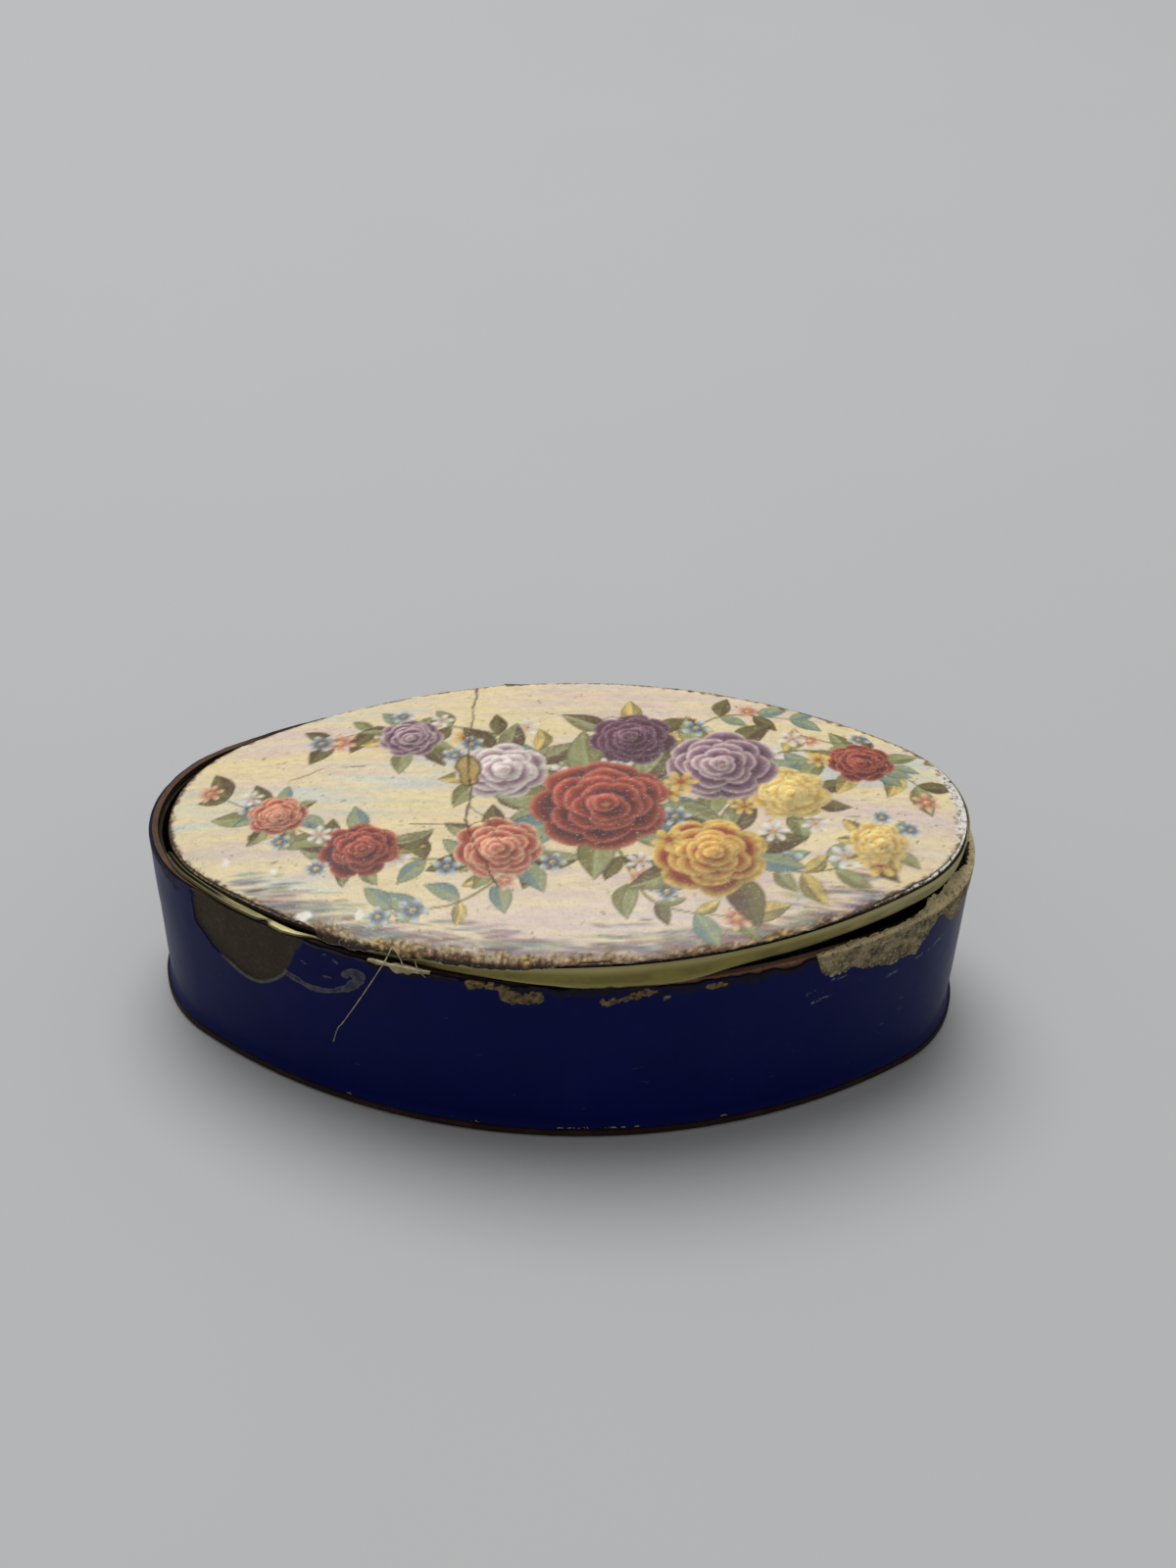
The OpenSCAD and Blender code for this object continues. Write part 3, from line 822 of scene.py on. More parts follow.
# Chips of the paint's edge: place, and how far in and along they reach
EDGE_CHIPS = [
    (42.0, 3.4, 1.2, 2.6), (43.0, -0.8, 1.1, 2.4), (40.6, -7.0, 0.4, 1.8), (-25.8, -19.0, 0.8, 1.8),
    (-35.7, -11.1, 0.3, 0.8), (30.5, 14.4, 0.4, 1.6), (-8.0, -23.6, 0.5, 2.2), (4.0, -24.0, 0.6, 2.5),
]
# Crust that spills over the front edge: its middle along the length, half length and reach
EDGE_SPILLS = [(-13, 12, 0.55), (2, 28, 0.40)]
# Lumps of ochre crust on the border: place, half length, half width and turn
OCHRE_LUMPS = [
    (21.9, -20.3, 2.6, 0.75, 0.42), (-2.6, -23.4, 0.7, 0.9, 0.0), (-14.6, -22.2, 1.6, 0.6, -0.25),
    (-17.6, -21.3, 1.0, 0.5, -0.3),
]
# Chips down to white: place and size
WHITE_CHIPS = [(-35.4, -9.6, 0.55), (-30.0, -11.2, 0.45), (-26.0, -17.6, 0.7), (-20.2, -17.6, 0.6)]
# The painted garland's sprays: a stem's points, pairs of leaves, small flowers
SPRAYS = [
    ([(4, -3), (-8, -9), (-20, -9), (-30, -4), (-38, 1)], 9, 8),
    ([(2, 4), (-8, 12), (-19, 14), (-28, 11)], 7, 6),
    ([(14, 2), (24, 9), (33, 8), (39, 3)], 7, 6),
    ([(16, -5), (24, -11), (33, -9)], 6, 5),
    ([(10, 8), (17, 16), (26, 16)], 5, 4),
    ([(6, -8), (10, -16), (20, -18)], 5, 4),
    ([(-2, -8), (-10, -16), (-18, -17)], 5, 4),
]
# Its blooms: place, radius, and colours from dark to light
BLOOMS = [
    (7.0, 11.5, 5.0, WINE, PLUM, MAUVE),
    (-7.0, 5.5, 5.2, MAUVE, LILAC, WHITE),
    (24.5, 1.5, 4.6, OCHRE, STRAW, SAND),
    (-6.5, -8.0, 5.0, RUSSET, ROSE, PEACH),
    (17.0, 6.5, 6.4, PLUM, MAUVE, LILAC),
    (16.0, -8.5, 6.2, RUSSET, OCHRE, STRAW),
    (4.5, -0.5, 7.8, WINE, RUSSET, ROSE),
    (-21.0, -8.0, 4.4, WINE, RUSSET, ROSE),
    (-18.0, 11.5, 3.8, PLUM, MAUVE, LILAC),
    (-31.0, -2.5, 3.4, RUSSET, ROSE, PEACH),
    (32.5, 7.5, 3.8, WINE, RUSSET, ROSE),
    (33.5, -6.5, 3.2, OCHRE, STRAW, SAND),
]
# A leaf's dark and light tone, and a small flower's petal, lip and heart
LEAF_TONES = [(OLIVE, SAGE), (UMBER, OLIVE), (TEAL, SAGE), (OLIVE, STRAW), (UMBER, SAGE)]
FLOWER_TONES = [(LILAC, WHITE, OCHRE), (OCHRE, STRAW, RUSSET), (SLATE, MIST, STRAW), (ROSE, PEACH, STRAW)]
# How many strokes make the ground and its dark front edge, and how many petals and specks lie on it
GROUND_STROKES = 1500
FRONT_STROKES = 520
LOOSE_PETALS = 70
DIRT_SPECKS = 420


def between(first, second, share):
    """A colour for each point, part of the way from the first to the second."""
    first, second = np.array(first, float), np.array(second, float)
    return first + share[..., None] * (second - first)


class Canvas:
    """A sheet of colour over the lid that takes brush strokes, leaves and blooms."""

    # Spacing of the sheet's points, and the direction that blooms are lit from: the back left
    STEP = 0.12
    LIGHT_FROM = 2.2

    def __init__(self, colour):
        self.x = np.arange(-LID_HALF_L - 1, LID_HALF_L + 1, self.STEP)
        self.y = np.arange(-LID_HALF_W - 1, LID_HALF_W + 1, self.STEP)
        self.sheet = np.ones((len(self.y), len(self.x), 3)) * np.array(colour) / 255
        self.hand = np.random.default_rng(21)

    def window(self, x, y, reach):
        """The part of the sheet within reach of a place, and its points measured from there."""
        columns = slice(*np.searchsorted(self.x, [x - reach, x + reach]))
        rows = slice(*np.searchsorted(self.y, [y - reach, y + reach]))
        return (rows, columns), *np.meshgrid(self.x[columns] - x, self.y[rows] - y)

    def blend(self, at, alpha, colour):
        """Lays a colour over part of the sheet, thin where alpha is small."""
        alpha = np.clip(alpha, 0, 1)[..., None]
        self.sheet[at] = self.sheet[at] * (1 - alpha) + alpha * np.clip(colour, 0, 255) / 255

    def lay(self, alpha, colour):
        """Covers the whole sheet with a colour where alpha is 1."""
        self.blend((slice(None), slice(None)), alpha, colour)

    def pick(self, choices):
        """One of several, by chance."""
        return choices[self.hand.choice(len(choices))]

    def stroke(self, x, y, length, width, angle, colour, strength=0.9, edge=0.35, shake=14):
        """One dab: an ellipse with a soft edge and bristle streaks along it."""
        at, dx, dy = self.window(x, y, max(length, width) / 2 + self.STEP)
        u, v = turned(dx, dy, angle)
        far = np.hypot(2 * u / length, 2 * v / width)
        bristle = 0.8 + 0.3 * noise(u * 0.5 + x, v * 5 + y, 2)
        tone = np.array(colour) + self.hand.normal(0, shake * 0.5) + self.hand.normal(0, shake * 0.3, 3)
        self.blend(at, smooth(1, 1 - edge, far) * strength * bristle, tone)

    def line(self, points, width, colour, strength=0.85, taper=0.4):
        """Short strokes set end to end along a smooth curve, thinner towards its end."""
        curve = rounded(points, 12, closed=False)
        middle, run = (curve[1:] + curve[:-1]) / 2, np.diff(curve, axis=0)
        thin = np.linspace(1, taper, len(run))
        for (x, y), (dx, dy), k in zip(middle, run, thin):
            length = math.hypot(dx, dy) * 2 + width
            self.stroke(x, y, length, width * k, math.atan2(dy, dx), colour, strength, 0.5, 8)

    def ground(self):
        """Long level strokes in drifting bands of pale tones, and darker ones along the front edge."""
        tones = [MIST, LILAC, CREAM, SAND, CREAM, LILAC]
        for _ in range(GROUND_STROKES):
            x, y = self.hand.uniform(-44, 44), self.hand.uniform(-25, 25)
            drift = 1.3 * noise(x * 0.02, y * 0.15, 6) + self.hand.normal(0, 0.10)
            colour = tones[int(np.clip((drift + 0.5) * 6, 0, 5))]
            length, width = self.hand.uniform(6, 20), self.hand.uniform(0.8, 2.4)
            self.stroke(x, y, length, width, self.hand.normal(0, 0.03), colour, 0.42, 0.9, 12)
        for _ in range(FRONT_STROKES):
            x = self.hand.uniform(-33, 33)
            y = LID.side_y - math.sqrt(LID.side_r ** 2 - x * x) + abs(self.hand.normal(0, 2.0))
            length, width = self.hand.uniform(2, 7), self.hand.uniform(0.3, 0.8)
            angle = self.hand.normal(0, 0.06)
            colour = self.pick([TEAL, SLATE, PLUM, UMBER, MAUVE, SAGE])
            self.stroke(x, y, length, width, angle, colour, 0.5, 0.6, 18)

    def leaf(self, x, y, length, angle, dark, light):
        """A leaf from its stalk: a blade that swells and tapers along a bend, one half lighter, veined."""
        at, dx, dy = self.window(x, y, length * 1.05)
        u, v = turned(dx, dy, angle)
        u = u / length
        v = v / length + self.hand.normal(0, 0.35) * u * (u - 1)
        inside = (u > 0) & (u < 1)
        half = 0.25 * np.sin(math.pi * np.clip(u, 0, 1) ** 0.85)
        comb = np.abs((7 * (u - 1.1 * np.abs(v))) % 1 - 0.5)
        vein = np.maximum(smooth(0.16, 0.02, comb) * 0.6, smooth(0.035, 0.01, np.abs(v)))
        lit = 0.15 + 0.55 * smooth(-0.05, 0.05, v) + 0.3 * noise(u * 5 + x, v * 14 + y, 3)
        tone = between(dark, light, np.clip(lit + 0.5 * vein, 0, 1.1))
        shade = smooth(0.25, 0.0, (half - np.abs(v)) / 0.25)[..., None]
        self.blend(at, inside * smooth(0, 0.03, half - np.abs(v)) * 0.94, tone * (1 - 0.35 * shade))

    def rose(self, x, y, r, dark, mid, light):
        """A full bloom: nested rings of round petals, each a scalloped disc about a slightly shaken centre.

        A petal is light along its lip and sinks to dark towards the ring inside it, lit from one side.
        """
        dark, mid, light = (np.array(k, float) for k in (dark, mid, light))
        at, dx, dy = self.window(x, y, 1.12 * r)
        start = self.hand.uniform(0, 6)
        for share, petals in ((1.0, 7), (0.82, 6), (0.65, 6), (0.49, 5), (0.34, 4), (0.20, 3)):
            start += 2.4
            cx, cy = self.hand.normal(0, 0.035 * r, 2)
            wave = 0.06 * r * noise(dx * 2.5 / r + x, dy * 2.5 / r + y, petals)
            rho, turn = np.hypot(dx - cx, dy - cy) + wave, np.arctan2(dy - cy, dx - cx)
            lobe = np.abs(np.sin(petals * (turn - start) / 2)) ** 0.5
            depth = (r * share * (0.82 + 0.18 * lobe) - rho) / r
            sink = smooth(0.02, 0.10, depth)[..., None]
            deep = smooth(0.08, 0.22, depth)[..., None]
            tone = light + (mid - light) * sink + (dark - mid) * deep
            lit = 0.5 + 0.5 * np.cos(turn - self.LIGHT_FROM)
            mottle = 0.10 * noise(turn * 9, rho * 2, petals + 5)
            volume = 0.70 + 0.36 * lit * (1 - 0.4 * share) + 0.14 * lobe + mottle
            self.blend(at, smooth(-0.015, 0.03, depth) * 0.95, tone * volume[..., None])
        self.stroke(x, y, r * 0.18, r * 0.14, 0.5, STRAW, 0.6, 0.6)

    def daisy(self, x, y, r, petal, lip, heart):
        """A small flower: five or six petals in the lobes of a cosine, lighter outwards, a dotted heart."""
        at, dx, dy = self.window(x, y, 1.1 * r)
        rho, turn = np.hypot(dx, dy) / r, np.arctan2(dy, dx)
        petals = 5 + self.hand.integers(2)
        lobe = np.abs(np.cos(petals * (turn - self.hand.uniform(0, 6)) / 2))
        depth = 0.32 + 0.66 * lobe ** 0.8 - rho
        tone = between(petal, lip, smooth(0.2, 0.8, rho))
        self.blend(at, smooth(0, 0.12, depth) * 0.92, tone * (0.75 + 0.25 * lobe)[..., None])
        self.stroke(x, y, r * 0.5, r * 0.5, 0, heart, 0.95, 0.4)
        self.stroke(x + r * 0.08, y - r * 0.06, r * 0.24, r * 0.2, 0, UMBER, 0.6, 0.5)

    def foliage(self, x, y, spread, count, length):
        """Leaves that fan out from about a place."""
        for turn in np.linspace(0, 2 * math.pi, count, endpoint=False) + self.hand.uniform(0, 6):
            turn = turn + self.hand.normal(0, 0.2)
            tones = self.pick(LEAF_TONES)
            self.leaf(x + spread * math.cos(turn), y + spread * math.sin(turn) * 0.9,
                      length * self.hand.uniform(0.75, 1.2), turn, *tones)

    def spray(self, path, leaves, flowers):
        """A stem along a curve, with leaves to either side, and small flowers near it."""
        self.line(path, 0.55, OLIVE, 0.85)
        curve = rounded(path, 16, closed=False)
        for k in np.linspace(2, len(curve) - 3, leaves).astype(int):
            dx, dy = curve[k + 1] - curve[k]
            for side in (-1, 1):
                angle = math.atan2(dy, dx) + side * self.hand.uniform(0.5, 1.1)
                tones = self.pick(LEAF_TONES[:4])
                self.leaf(*curve[k], self.hand.uniform(3.2, 5.8), angle, *tones)
        for k in np.linspace(3, len(curve) - 1, flowers).astype(int):
            x, y = curve[k] + self.hand.normal(0, 1.6, 2)
            tones = self.pick(FLOWER_TONES)
            self.daisy(x, y, self.hand.uniform(1.4, 2.3), *tones)

    def garland(self):
        """A flower garland: a full bunch right of the middle, blooms on trailing sprays, loose petals."""
        for path, leaves, flowers in SPRAYS:
            self.spray(path, leaves, flowers)
        for x, y, r, *_ in BLOOMS:
            self.stroke(x + 0.3, y - 0.25 * r, 3.2 * r, 2.3 * r, 0, MAUVE, 0.30, 0.95)
        for x, y, r, *_ in BLOOMS:
            self.foliage(x, y, 0.55 * r, 7, 1.15 * r)
        for x, y, r, *tones in BLOOMS:
            self.rose(x, y, r, *tones)
            reach = r * 1.05 + 0.8
            for turn in self.hand.uniform(0, 6, 2):
                flower = self.pick(FLOWER_TONES[:3])
                self.daisy(x + reach * math.cos(turn), y + reach * math.sin(turn), 0.9 + 0.16 * r, *flower)
        for _ in range(LOOSE_PETALS):
            x, y = self.hand.uniform(-38, 38), self.hand.uniform(-18, 18)
            length, angle = self.hand.uniform(0.5, 1.2), self.hand.uniform(0, 3)
            self.stroke(x, y, length, 0.4, angle, self.pick([ROSE, OCHRE, MAUVE, SAGE, UMBER]), 0.6, 0.6)

    def wear(self):
        """Dirt, a crusted border, chips, lost paint and cracks, laid over the painting in that order."""
        for _ in range(DIRT_SPECKS):
            x, y = self.hand.uniform(-43, 43), self.hand.uniform(-24, 24)
            self.stroke(x, y, self.hand.uniform(0.25, 0.6), 0.3, self.hand.uniform(0, 3), UMBER, 0.6, 0.6)
        x, y = np.meshgrid(self.x, self.y)
        rough = ragged(x * 1.3, y * 1.3, 8)
        grit = ragged(x * 3.4, y * 3.4, 9)
        self.border(x, y, rough, grit)
        self.losses(x, y, rough, grit)
        self.cracks(x, y, rough)

    def border(self, x, y, rough, grit):
        """A crust of brown, buff and white grains along the edge, widest at the right end, then rust.

        At the front the edge's very lip is dark: the lid's dark copper edge, with painted shadow under the
        spilled crust.
        """
        depth = LID.inset(x, y)
        front = smooth(-9, -19, y) * smooth(36, 22, np.abs(x + 1))
        right = smooth(33, 38, x) * smooth(10, 5, np.abs(y - 1.5))
        back = smooth(6, 12, y) * smooth(4, 16, x)
        uneven = 0.35 + 0.9 * smooth(-0.45, 0.35, noise(x * 0.2, y * 0.2, 26))
        width = 0.30 + 0.75 * front * uneven + 0.9 * right + 0.25 * back
        crust = smooth(0.25, -0.2, depth - width + 0.8 * rough)
        pale = smooth(-0.55, 0.30, grit + 0.25 * right - 0.3 * back)
        bright = smooth(0.32, 0.80, grit + 0.60 * right - 0.2 * back)
        grains = between(np.array(UMBER) * 1.2, np.array(BUFF) * 0.80, pale)
        self.lay(crust * 0.95, between(grains, WHITE, bright))
        patchy = smooth(-0.35, 0.25, noise(x * 0.5, y * 0.5, 22)) * (1 - 0.7 * right)
        rust = between(SOOT, RUST, smooth(-0.1, 0.4, grit + 0.4 * front - 0.2))
        self.lay(smooth(0.75, 0.25, depth + 0.4 * grit) * patchy * 0.8, rust)
        # The drooping lip of spilled crust at the front, darkened: the lid's copper edge, and painted
        # shadow beneath the spill
        lip = smooth(0.02, -0.18, depth + 0.12 * grit) * (y < 0)
        self.lay(lip * 0.92, np.array(LIP_DARK_AND_SHADOW) + 14 * grit[..., None])

    def losses(self, x, y, rough, grit):
        """Lumps of ochre crust, chips down to white, and the patch of lost paint with its dark rim."""
        ochre = between(UMBER, np.array(STRAW) * 0.9, smooth(-0.4, 0.4, grit))
        for cx, cy, half_l, half_w, turn in OCHRE_LUMPS:
            u, v = turned(x - cx, y - cy, turn)
            self.lay(smooth(1.15, 0.75, np.hypot(u / half_l, v / half_w) + 0.9 * rough) * 0.9, ochre)
        for cx, cy, size in WHITE_CHIPS:
            far = np.hypot(x - cx, y - cy) / size
            self.lay(smooth(1.2, 0.85, far + rough * 0.8), np.array(WHITE) + 12 * grit[..., None])
        gone = inside_distance(x, y, rounded(LOST_PAINT)) + 0.08 * grit
        self.lay(smooth(0.0, 0.15, gone), np.array(BARE_GROUND) + 16 * rough[..., None])
        self.lay(smooth(0.24, 0.08, np.abs(gone - 0.05)) * 0.75, LOSS_RIM)

    def cracks(self, x, y, rough):
        """The crack across the lid and hairlines that come and go, shaken off their lines by noise."""
        shake = 0.35 * ragged(x * 0.6, y * 0.6, 14)
        crack = line_distance(x + shake, y, np.array(CRACK, float))
        self.lay(smooth(0.15, 0.04, crack + 0.09 * rough) * 0.85, CRACK_TONE)
        shown = smooth(-0.45, 0.0, noise(x * 0.4, y, 15))
        for path in HAIRLINES:
            hair = line_distance(x, y + shake, np.array(path, float))
            self.lay(smooth(0.14, 0.03, hair) * shown * 0.7, HAIR_TONE)

    def read(self, x, y):
        """Linear colour at places on the lid, blended between the sheet's four nearest points."""
        u, v = (x - self.x[0]) / self.STEP, (y - self.y[0]) / self.STEP
        column = np.clip(u.astype(int), 0, len(self.x) - 2)
        row = np.clip(v.astype(int), 0, len(self.y) - 2)
        s, t = np.clip(u - column, 0, 1)[..., None], np.clip(v - row, 0, 1)[..., None]
        near = self.sheet[row, column] * (1 - s) + self.sheet[row, column + 1] * s
        far = self.sheet[row + 1, column] * (1 - s) + self.sheet[row + 1, column + 1] * s
        seen = np.clip(near * (1 - t) + far * t, 0, 1)
        return np.where(seen <= 0.04045, seen / 12.92, ((seen + 0.055) / 1.055) ** 2.4)


# Fall of spilled crust for each millimetre past the lid's edge
SPILL_FALL = 1.2
# The paint's grid, the points round the edge that set its bearings, and the rings of its underside by size
LID_COLUMNS = 421
LID_ROWS = 191
EDGE_POINTS = 2001
UNDER_RINGS = [1, 0.97, 0.75, 0.55, 0.3, 0.02]
# Grey of the paint's hidden side
UNDER_TONE = 0.3
# Height of the border's lumps and the brush marks, and depth of the lost paint and the crack
LUMP_H = 0.05
BRUSH_H = 0.006
LOSS_DEPTH = 0.05


def paint_edge(angle):
    """Inset of the paint's broken edge from the lid's edge: noise, deeper chips, spills that stand out."""
    x, y = LID.point(angle)
    broken = 0.10 * (1 + ragged(x * 1.1, y * 1.1, 16))
    inset = PAINT_EDGE + broken + 0.12 * np.abs(noise(x * 2.2, y * 2.2, 17))
    for cx, cy, deep, half in EDGE_CHIPS:
        far = np.hypot(x - cx, y - cy) / half + 0.3 * noise(x * 1.8, y * 1.8, 18)
        inset = np.maximum(inset, deep * smooth(1.15, 0.6, far))
    for at, half, reach in EDGE_SPILLS:
        shown = smooth(half + 4, half - 1, np.abs(x - at)) * (y < 0)
        inset = inset - reach * shown * (0.85 + 0.25 * noise(x * 0.4, y * 0.4, 27))
    return inset


def paint_grid():
    """Places on the level lid: a square grid drawn out to a disc, and the disc to the paint's outline.

    Each point of the disc keeps its share of the way to the lid's edge, and the outermost ones are
    pulled in to the paint's broken edge.
    """
    u, v = np.meshgrid(np.linspace(-1, 1, LID_COLUMNS), np.linspace(-1, 1, LID_ROWS))
    p, q = u * np.sqrt(1 - v * v / 2), v * np.sqrt(1 - u * u / 2)
    share = np.hypot(p, q)
    turns = np.linspace(-math.pi, math.pi, EDGE_POINTS)
    edge_x, edge_y = LID.point(turns)
    bearing = np.unwrap(np.arctan2(edge_y / LID_HALF_W, edge_x / LID_HALF_L))
    facing = np.interp(np.arctan2(q, p), bearing, turns)
    full_x, full_y = LID.point(facing)
    drawn_x, drawn_y = LID.point(facing, -paint_edge(facing))
    pull = smooth(0.86, 1.0, share)
    return share * (full_x + (drawn_x - full_x) * pull), share * (full_y + (drawn_y - full_y) * pull)


def paint_height(x, y):
    """Height of the paint's top: it follows the dome, and falls where crust spills past the lid's edge."""
    inset = LID.inset(x, y)
    return dome(inset) + PAINT_TOP - SPILL_FALL * np.maximum(-inset, 0)


def painted_lid():
    """The painted coat: a closed skin over the lid's dome.

    Its top has a faint brush relief, lumps along the border, a groove along the crack and a sunk patch of
    lost paint. Its underside lies the paint's thickness below, on coarser rings that shrink to the middle.
    """
    canvas = Canvas(CREAM)
    canvas.ground()
    canvas.garland()
    canvas.wear()
    x, y = paint_grid()
    gone = smooth(-0.05, 0.15, inside_distance(x, y, rounded(LOST_PAINT)))
    crack = smooth(0.3, 0.08, line_distance(x, y, np.array(CRACK, float)))
    worn = smooth(1.6, 0.4, LID.inset(x, y) + 0.6 * ragged(x * 0.9, y * 0.9, 8))
    lump = worn * LUMP_H * ragged(x * 2.4, y * 2.4, 19)
    brush = BRUSH_H * noise(x * 0.8, y * 3.2, 20)
    z = paint_height(x, y) + brush + lump - LOSS_DEPTH * np.maximum(gone, 0.8 * crack)
    top = on_lid(x, y, z).reshape(-1, 3)
    index = np.arange(x.size).reshape(x.shape)
    ring = np.concatenate([index[0, :-1], index[:-1, -1], index[-1, :0:-1], index[:0:-1, 0]])
    shrink = np.array(UNDER_RINGS)[:, None]
    under_x, under_y = shrink * x.ravel()[ring], shrink * y.ravel()[ring]
    under = on_lid(under_x, under_y, paint_height(under_x, under_y) - PAINT_T).reshape(-1, 3)
    below = len(top) + np.arange(len(ring))
    side = np.stack([ring, np.roll(ring, -1), np.roll(below, -1), below], -1)
    rings = len(top) + grid_faces(len(shrink), len(ring), False, True)
    middle = cap_faces(below + (len(shrink) - 1) * len(ring))
    faces = np.concatenate([grid_faces(*x.shape), side, rings, middle])
    paint = np.concatenate([canvas.read(x, y).reshape(-1, 3), np.full(under.shape, UNDER_TONE)])
    worn = np.concatenate([np.clip(worn + gone, 0, 1).ravel(), np.ones(len(under))])
    make_piece("painted_lid", np.concatenate([top, under]), faces, painted_enamel(), "lid",
               ["lid_painting"], {"worn": worn}, paint, 50)


# The brass band along the rim: arc, then its middle's offset, lowest and highest point, width and groove.
# It lies in the gap beside the lid at the left, on the rim, then under the lid's edge to the right.
BAND_LEFT = [
    (-47.6, -1.30, 21.75, 22.15, 0.30, 1.0), (-47.0, -1.30, 21.65, 22.35, 0.55, 1.0),
    (-45.0, -1.18, 21.80, 22.42, 0.62, 1.0), (-41.0, -0.95, 22.02, 22.45, 0.62, 1.0),
    (-38.0, -0.80, 22.06, 22.42, 0.65, 0.8), (-36.5, -0.74, 22.06, 22.40, 0.70, 0.2),
    (-34.0, -0.68, 22.06, 22.40, 0.75, 0.0), (-32.0, -0.66, 22.06, 22.40, 0.65, 0.0),
    (-31.0, -0.80, 22.06, 22.30, 0.28, 0.0), (-30.2, -0.50, 22.06, 22.40, 0.62, 0.0),
    (-28.6, -0.36, 22.06, 22.42, 0.70, 0.0), (-27.0, -0.44, 22.06, 22.38, 0.45, 0.0),
    (-25.5, -0.75, 22.06, 22.34, 0.25, 0.0), (-22.0, -1.15, 22.06, 22.32, 0.30, 0.0),
]
# Steps along the loose left part, and along the part that hangs from the lid
BAND_JOIN = -20
BAND_LEFT_STEP = 0.2
BAND_STEP = 0.3
BAND_RIGHT_END = 102.0
# The hanging part's size, and its clearance from the lid's edge, the lid's underside and the rim
BAND_H = 1.7
BAND_W = 0.5
BAND_INSET = 0.04
BAND_UNDER = 0.03
BAND_OVER_RIM = 0.06
# Outline of the folded strip in a unit square: its outside, then the inside of one leg
STRIP_OUTSIDE = [
    (-0.5, 0.40), (-0.5, -0.34), (-0.42, -0.47), (-0.3, -0.5), (0.25, -0.5), (0.44, -0.46), (0.58, -0.34),
    (0.68, -0.10), (0.62, 0.18), (0.50, 0.40),
]
STRIP_LEG = [(0.46, 0.48), (0.38, 0.5), (0.31, 0.46), (0.27, 0.36), (0.24, 0.1), (0.16, -0.15)]
# The points of that outline at the bottom of the groove
STRIP_FOLD = slice(14, 18)
# The lip that wraps the lid's copper edge: the outline's point, how far it lies past the lid's edge, and
# how far it lies over the lid's underside
BAND_LIP = [(9, 0.17, 0.26), (10, 0.16, 0.36), (11, 0.10, 0.41), (12, 0.045, 0.37), (13, 0.04, -0.03)]


def channel(groove):
    """Outline of a folded strip in a unit square, for each depth of the groove between its two legs."""
    inside = np.array(STRIP_LEG + [(-x, z) for x, z in STRIP_LEG[::-1]])
    outline = np.concatenate([np.array(STRIP_OUTSIDE), inside])
    shape = np.broadcast_to(outline, (len(groove), *outline.shape)).copy()
    level = 0.5 - 0.06 * np.abs(inside[:, 0])
    shape[:, len(STRIP_OUTSIDE):, 1] = level + (inside[:, 1] - level) * groove[:, None]
    return shape


def brass_band():
    """The band: a folded strip's outline carried along the rim, stretched to the size at each place.

    Right of the front's left quarter it hangs from the lid's edge, its lower edge wavy and pushed out at
    the front.
    """
    knots = np.array(BAND_LEFT)
    loose = np.arange(knots[0, 0], BAND_JOIN, BAND_LEFT_STEP)
    arc = np.concatenate([loose, np.arange(BAND_JOIN, BAND_RIGHT_END, BAND_STEP)])
    left_course = [np.interp(arc, knots[:, 0], knots[:, k]) for k in range(1, 6)]
    edge, under = lid_edge(arc)
    wave = noise(arc * 0.16, 0, 23)
    low = np.maximum(under - BAND_H + 0.2 * wave, RIM_Z + BAND_OVER_RIM)
    low = low - 0.5 * smooth(-1, 5, arc) * smooth(19, 12, arc)
    right_course = (edge - BAND_INSET - BAND_W / 2, low, under - BAND_UNDER, BAND_W, 0.0)
    hang = smooth(-21, -13, arc)
    offset, low, high, width, groove = (a + (b - a) * hang for a, b in zip(left_course, right_course))
    lean = hang * (0.75 * smooth(-17, 0, arc) * smooth(24, 13, arc) + 0.10 * wave)
    outline = channel(groove)
    across = outline[..., 0] * width[:, None] + offset[:, None] + lean[:, None] * (0.5 - outline[..., 1])
    across = across + 0.03 * noise(arc * 0.9, 0, 25)[:, None]
    z = outline[..., 1] * (high - low)[:, None] + ((high + low) / 2)[:, None]
    rise = outline[..., 1] + 0.5
    for k, past, up in BAND_LIP:
        across[:, k] += hang * (edge + past - across[:, k])
        z[:, k] += hang * (under + up - z[:, k])
        rise[:, k] = 1
    points = on_wall(np.broadcast_to(arc[:, None], z.shape), across, z)
    fold = np.zeros(z.shape)
    fold[:, STRIP_FOLD] = groove[:, None]
    front = np.broadcast_to((smooth(-30, -12, arc) * smooth(38, 22, arc))[:, None], z.shape)
    # The loose left part is darkened in its finish as painted shade in the gap beside the lid, less where
    # it curls up onto the rim
    curl = smooth(-30.6, -29.8, arc) * smooth(-25.5, -27.5, arc)
    left = np.broadcast_to((smooth(-21, -25, arc) * (1 - 0.6 * curl))[:, None], z.shape)
    values = {"fold": fold, "front": front, "left": left, "rise": rise}
    make_piece("brass_band", points, tube_faces(*z.shape), band_brass(), "lid", ["lid_bezel"],
               values, crease=50)


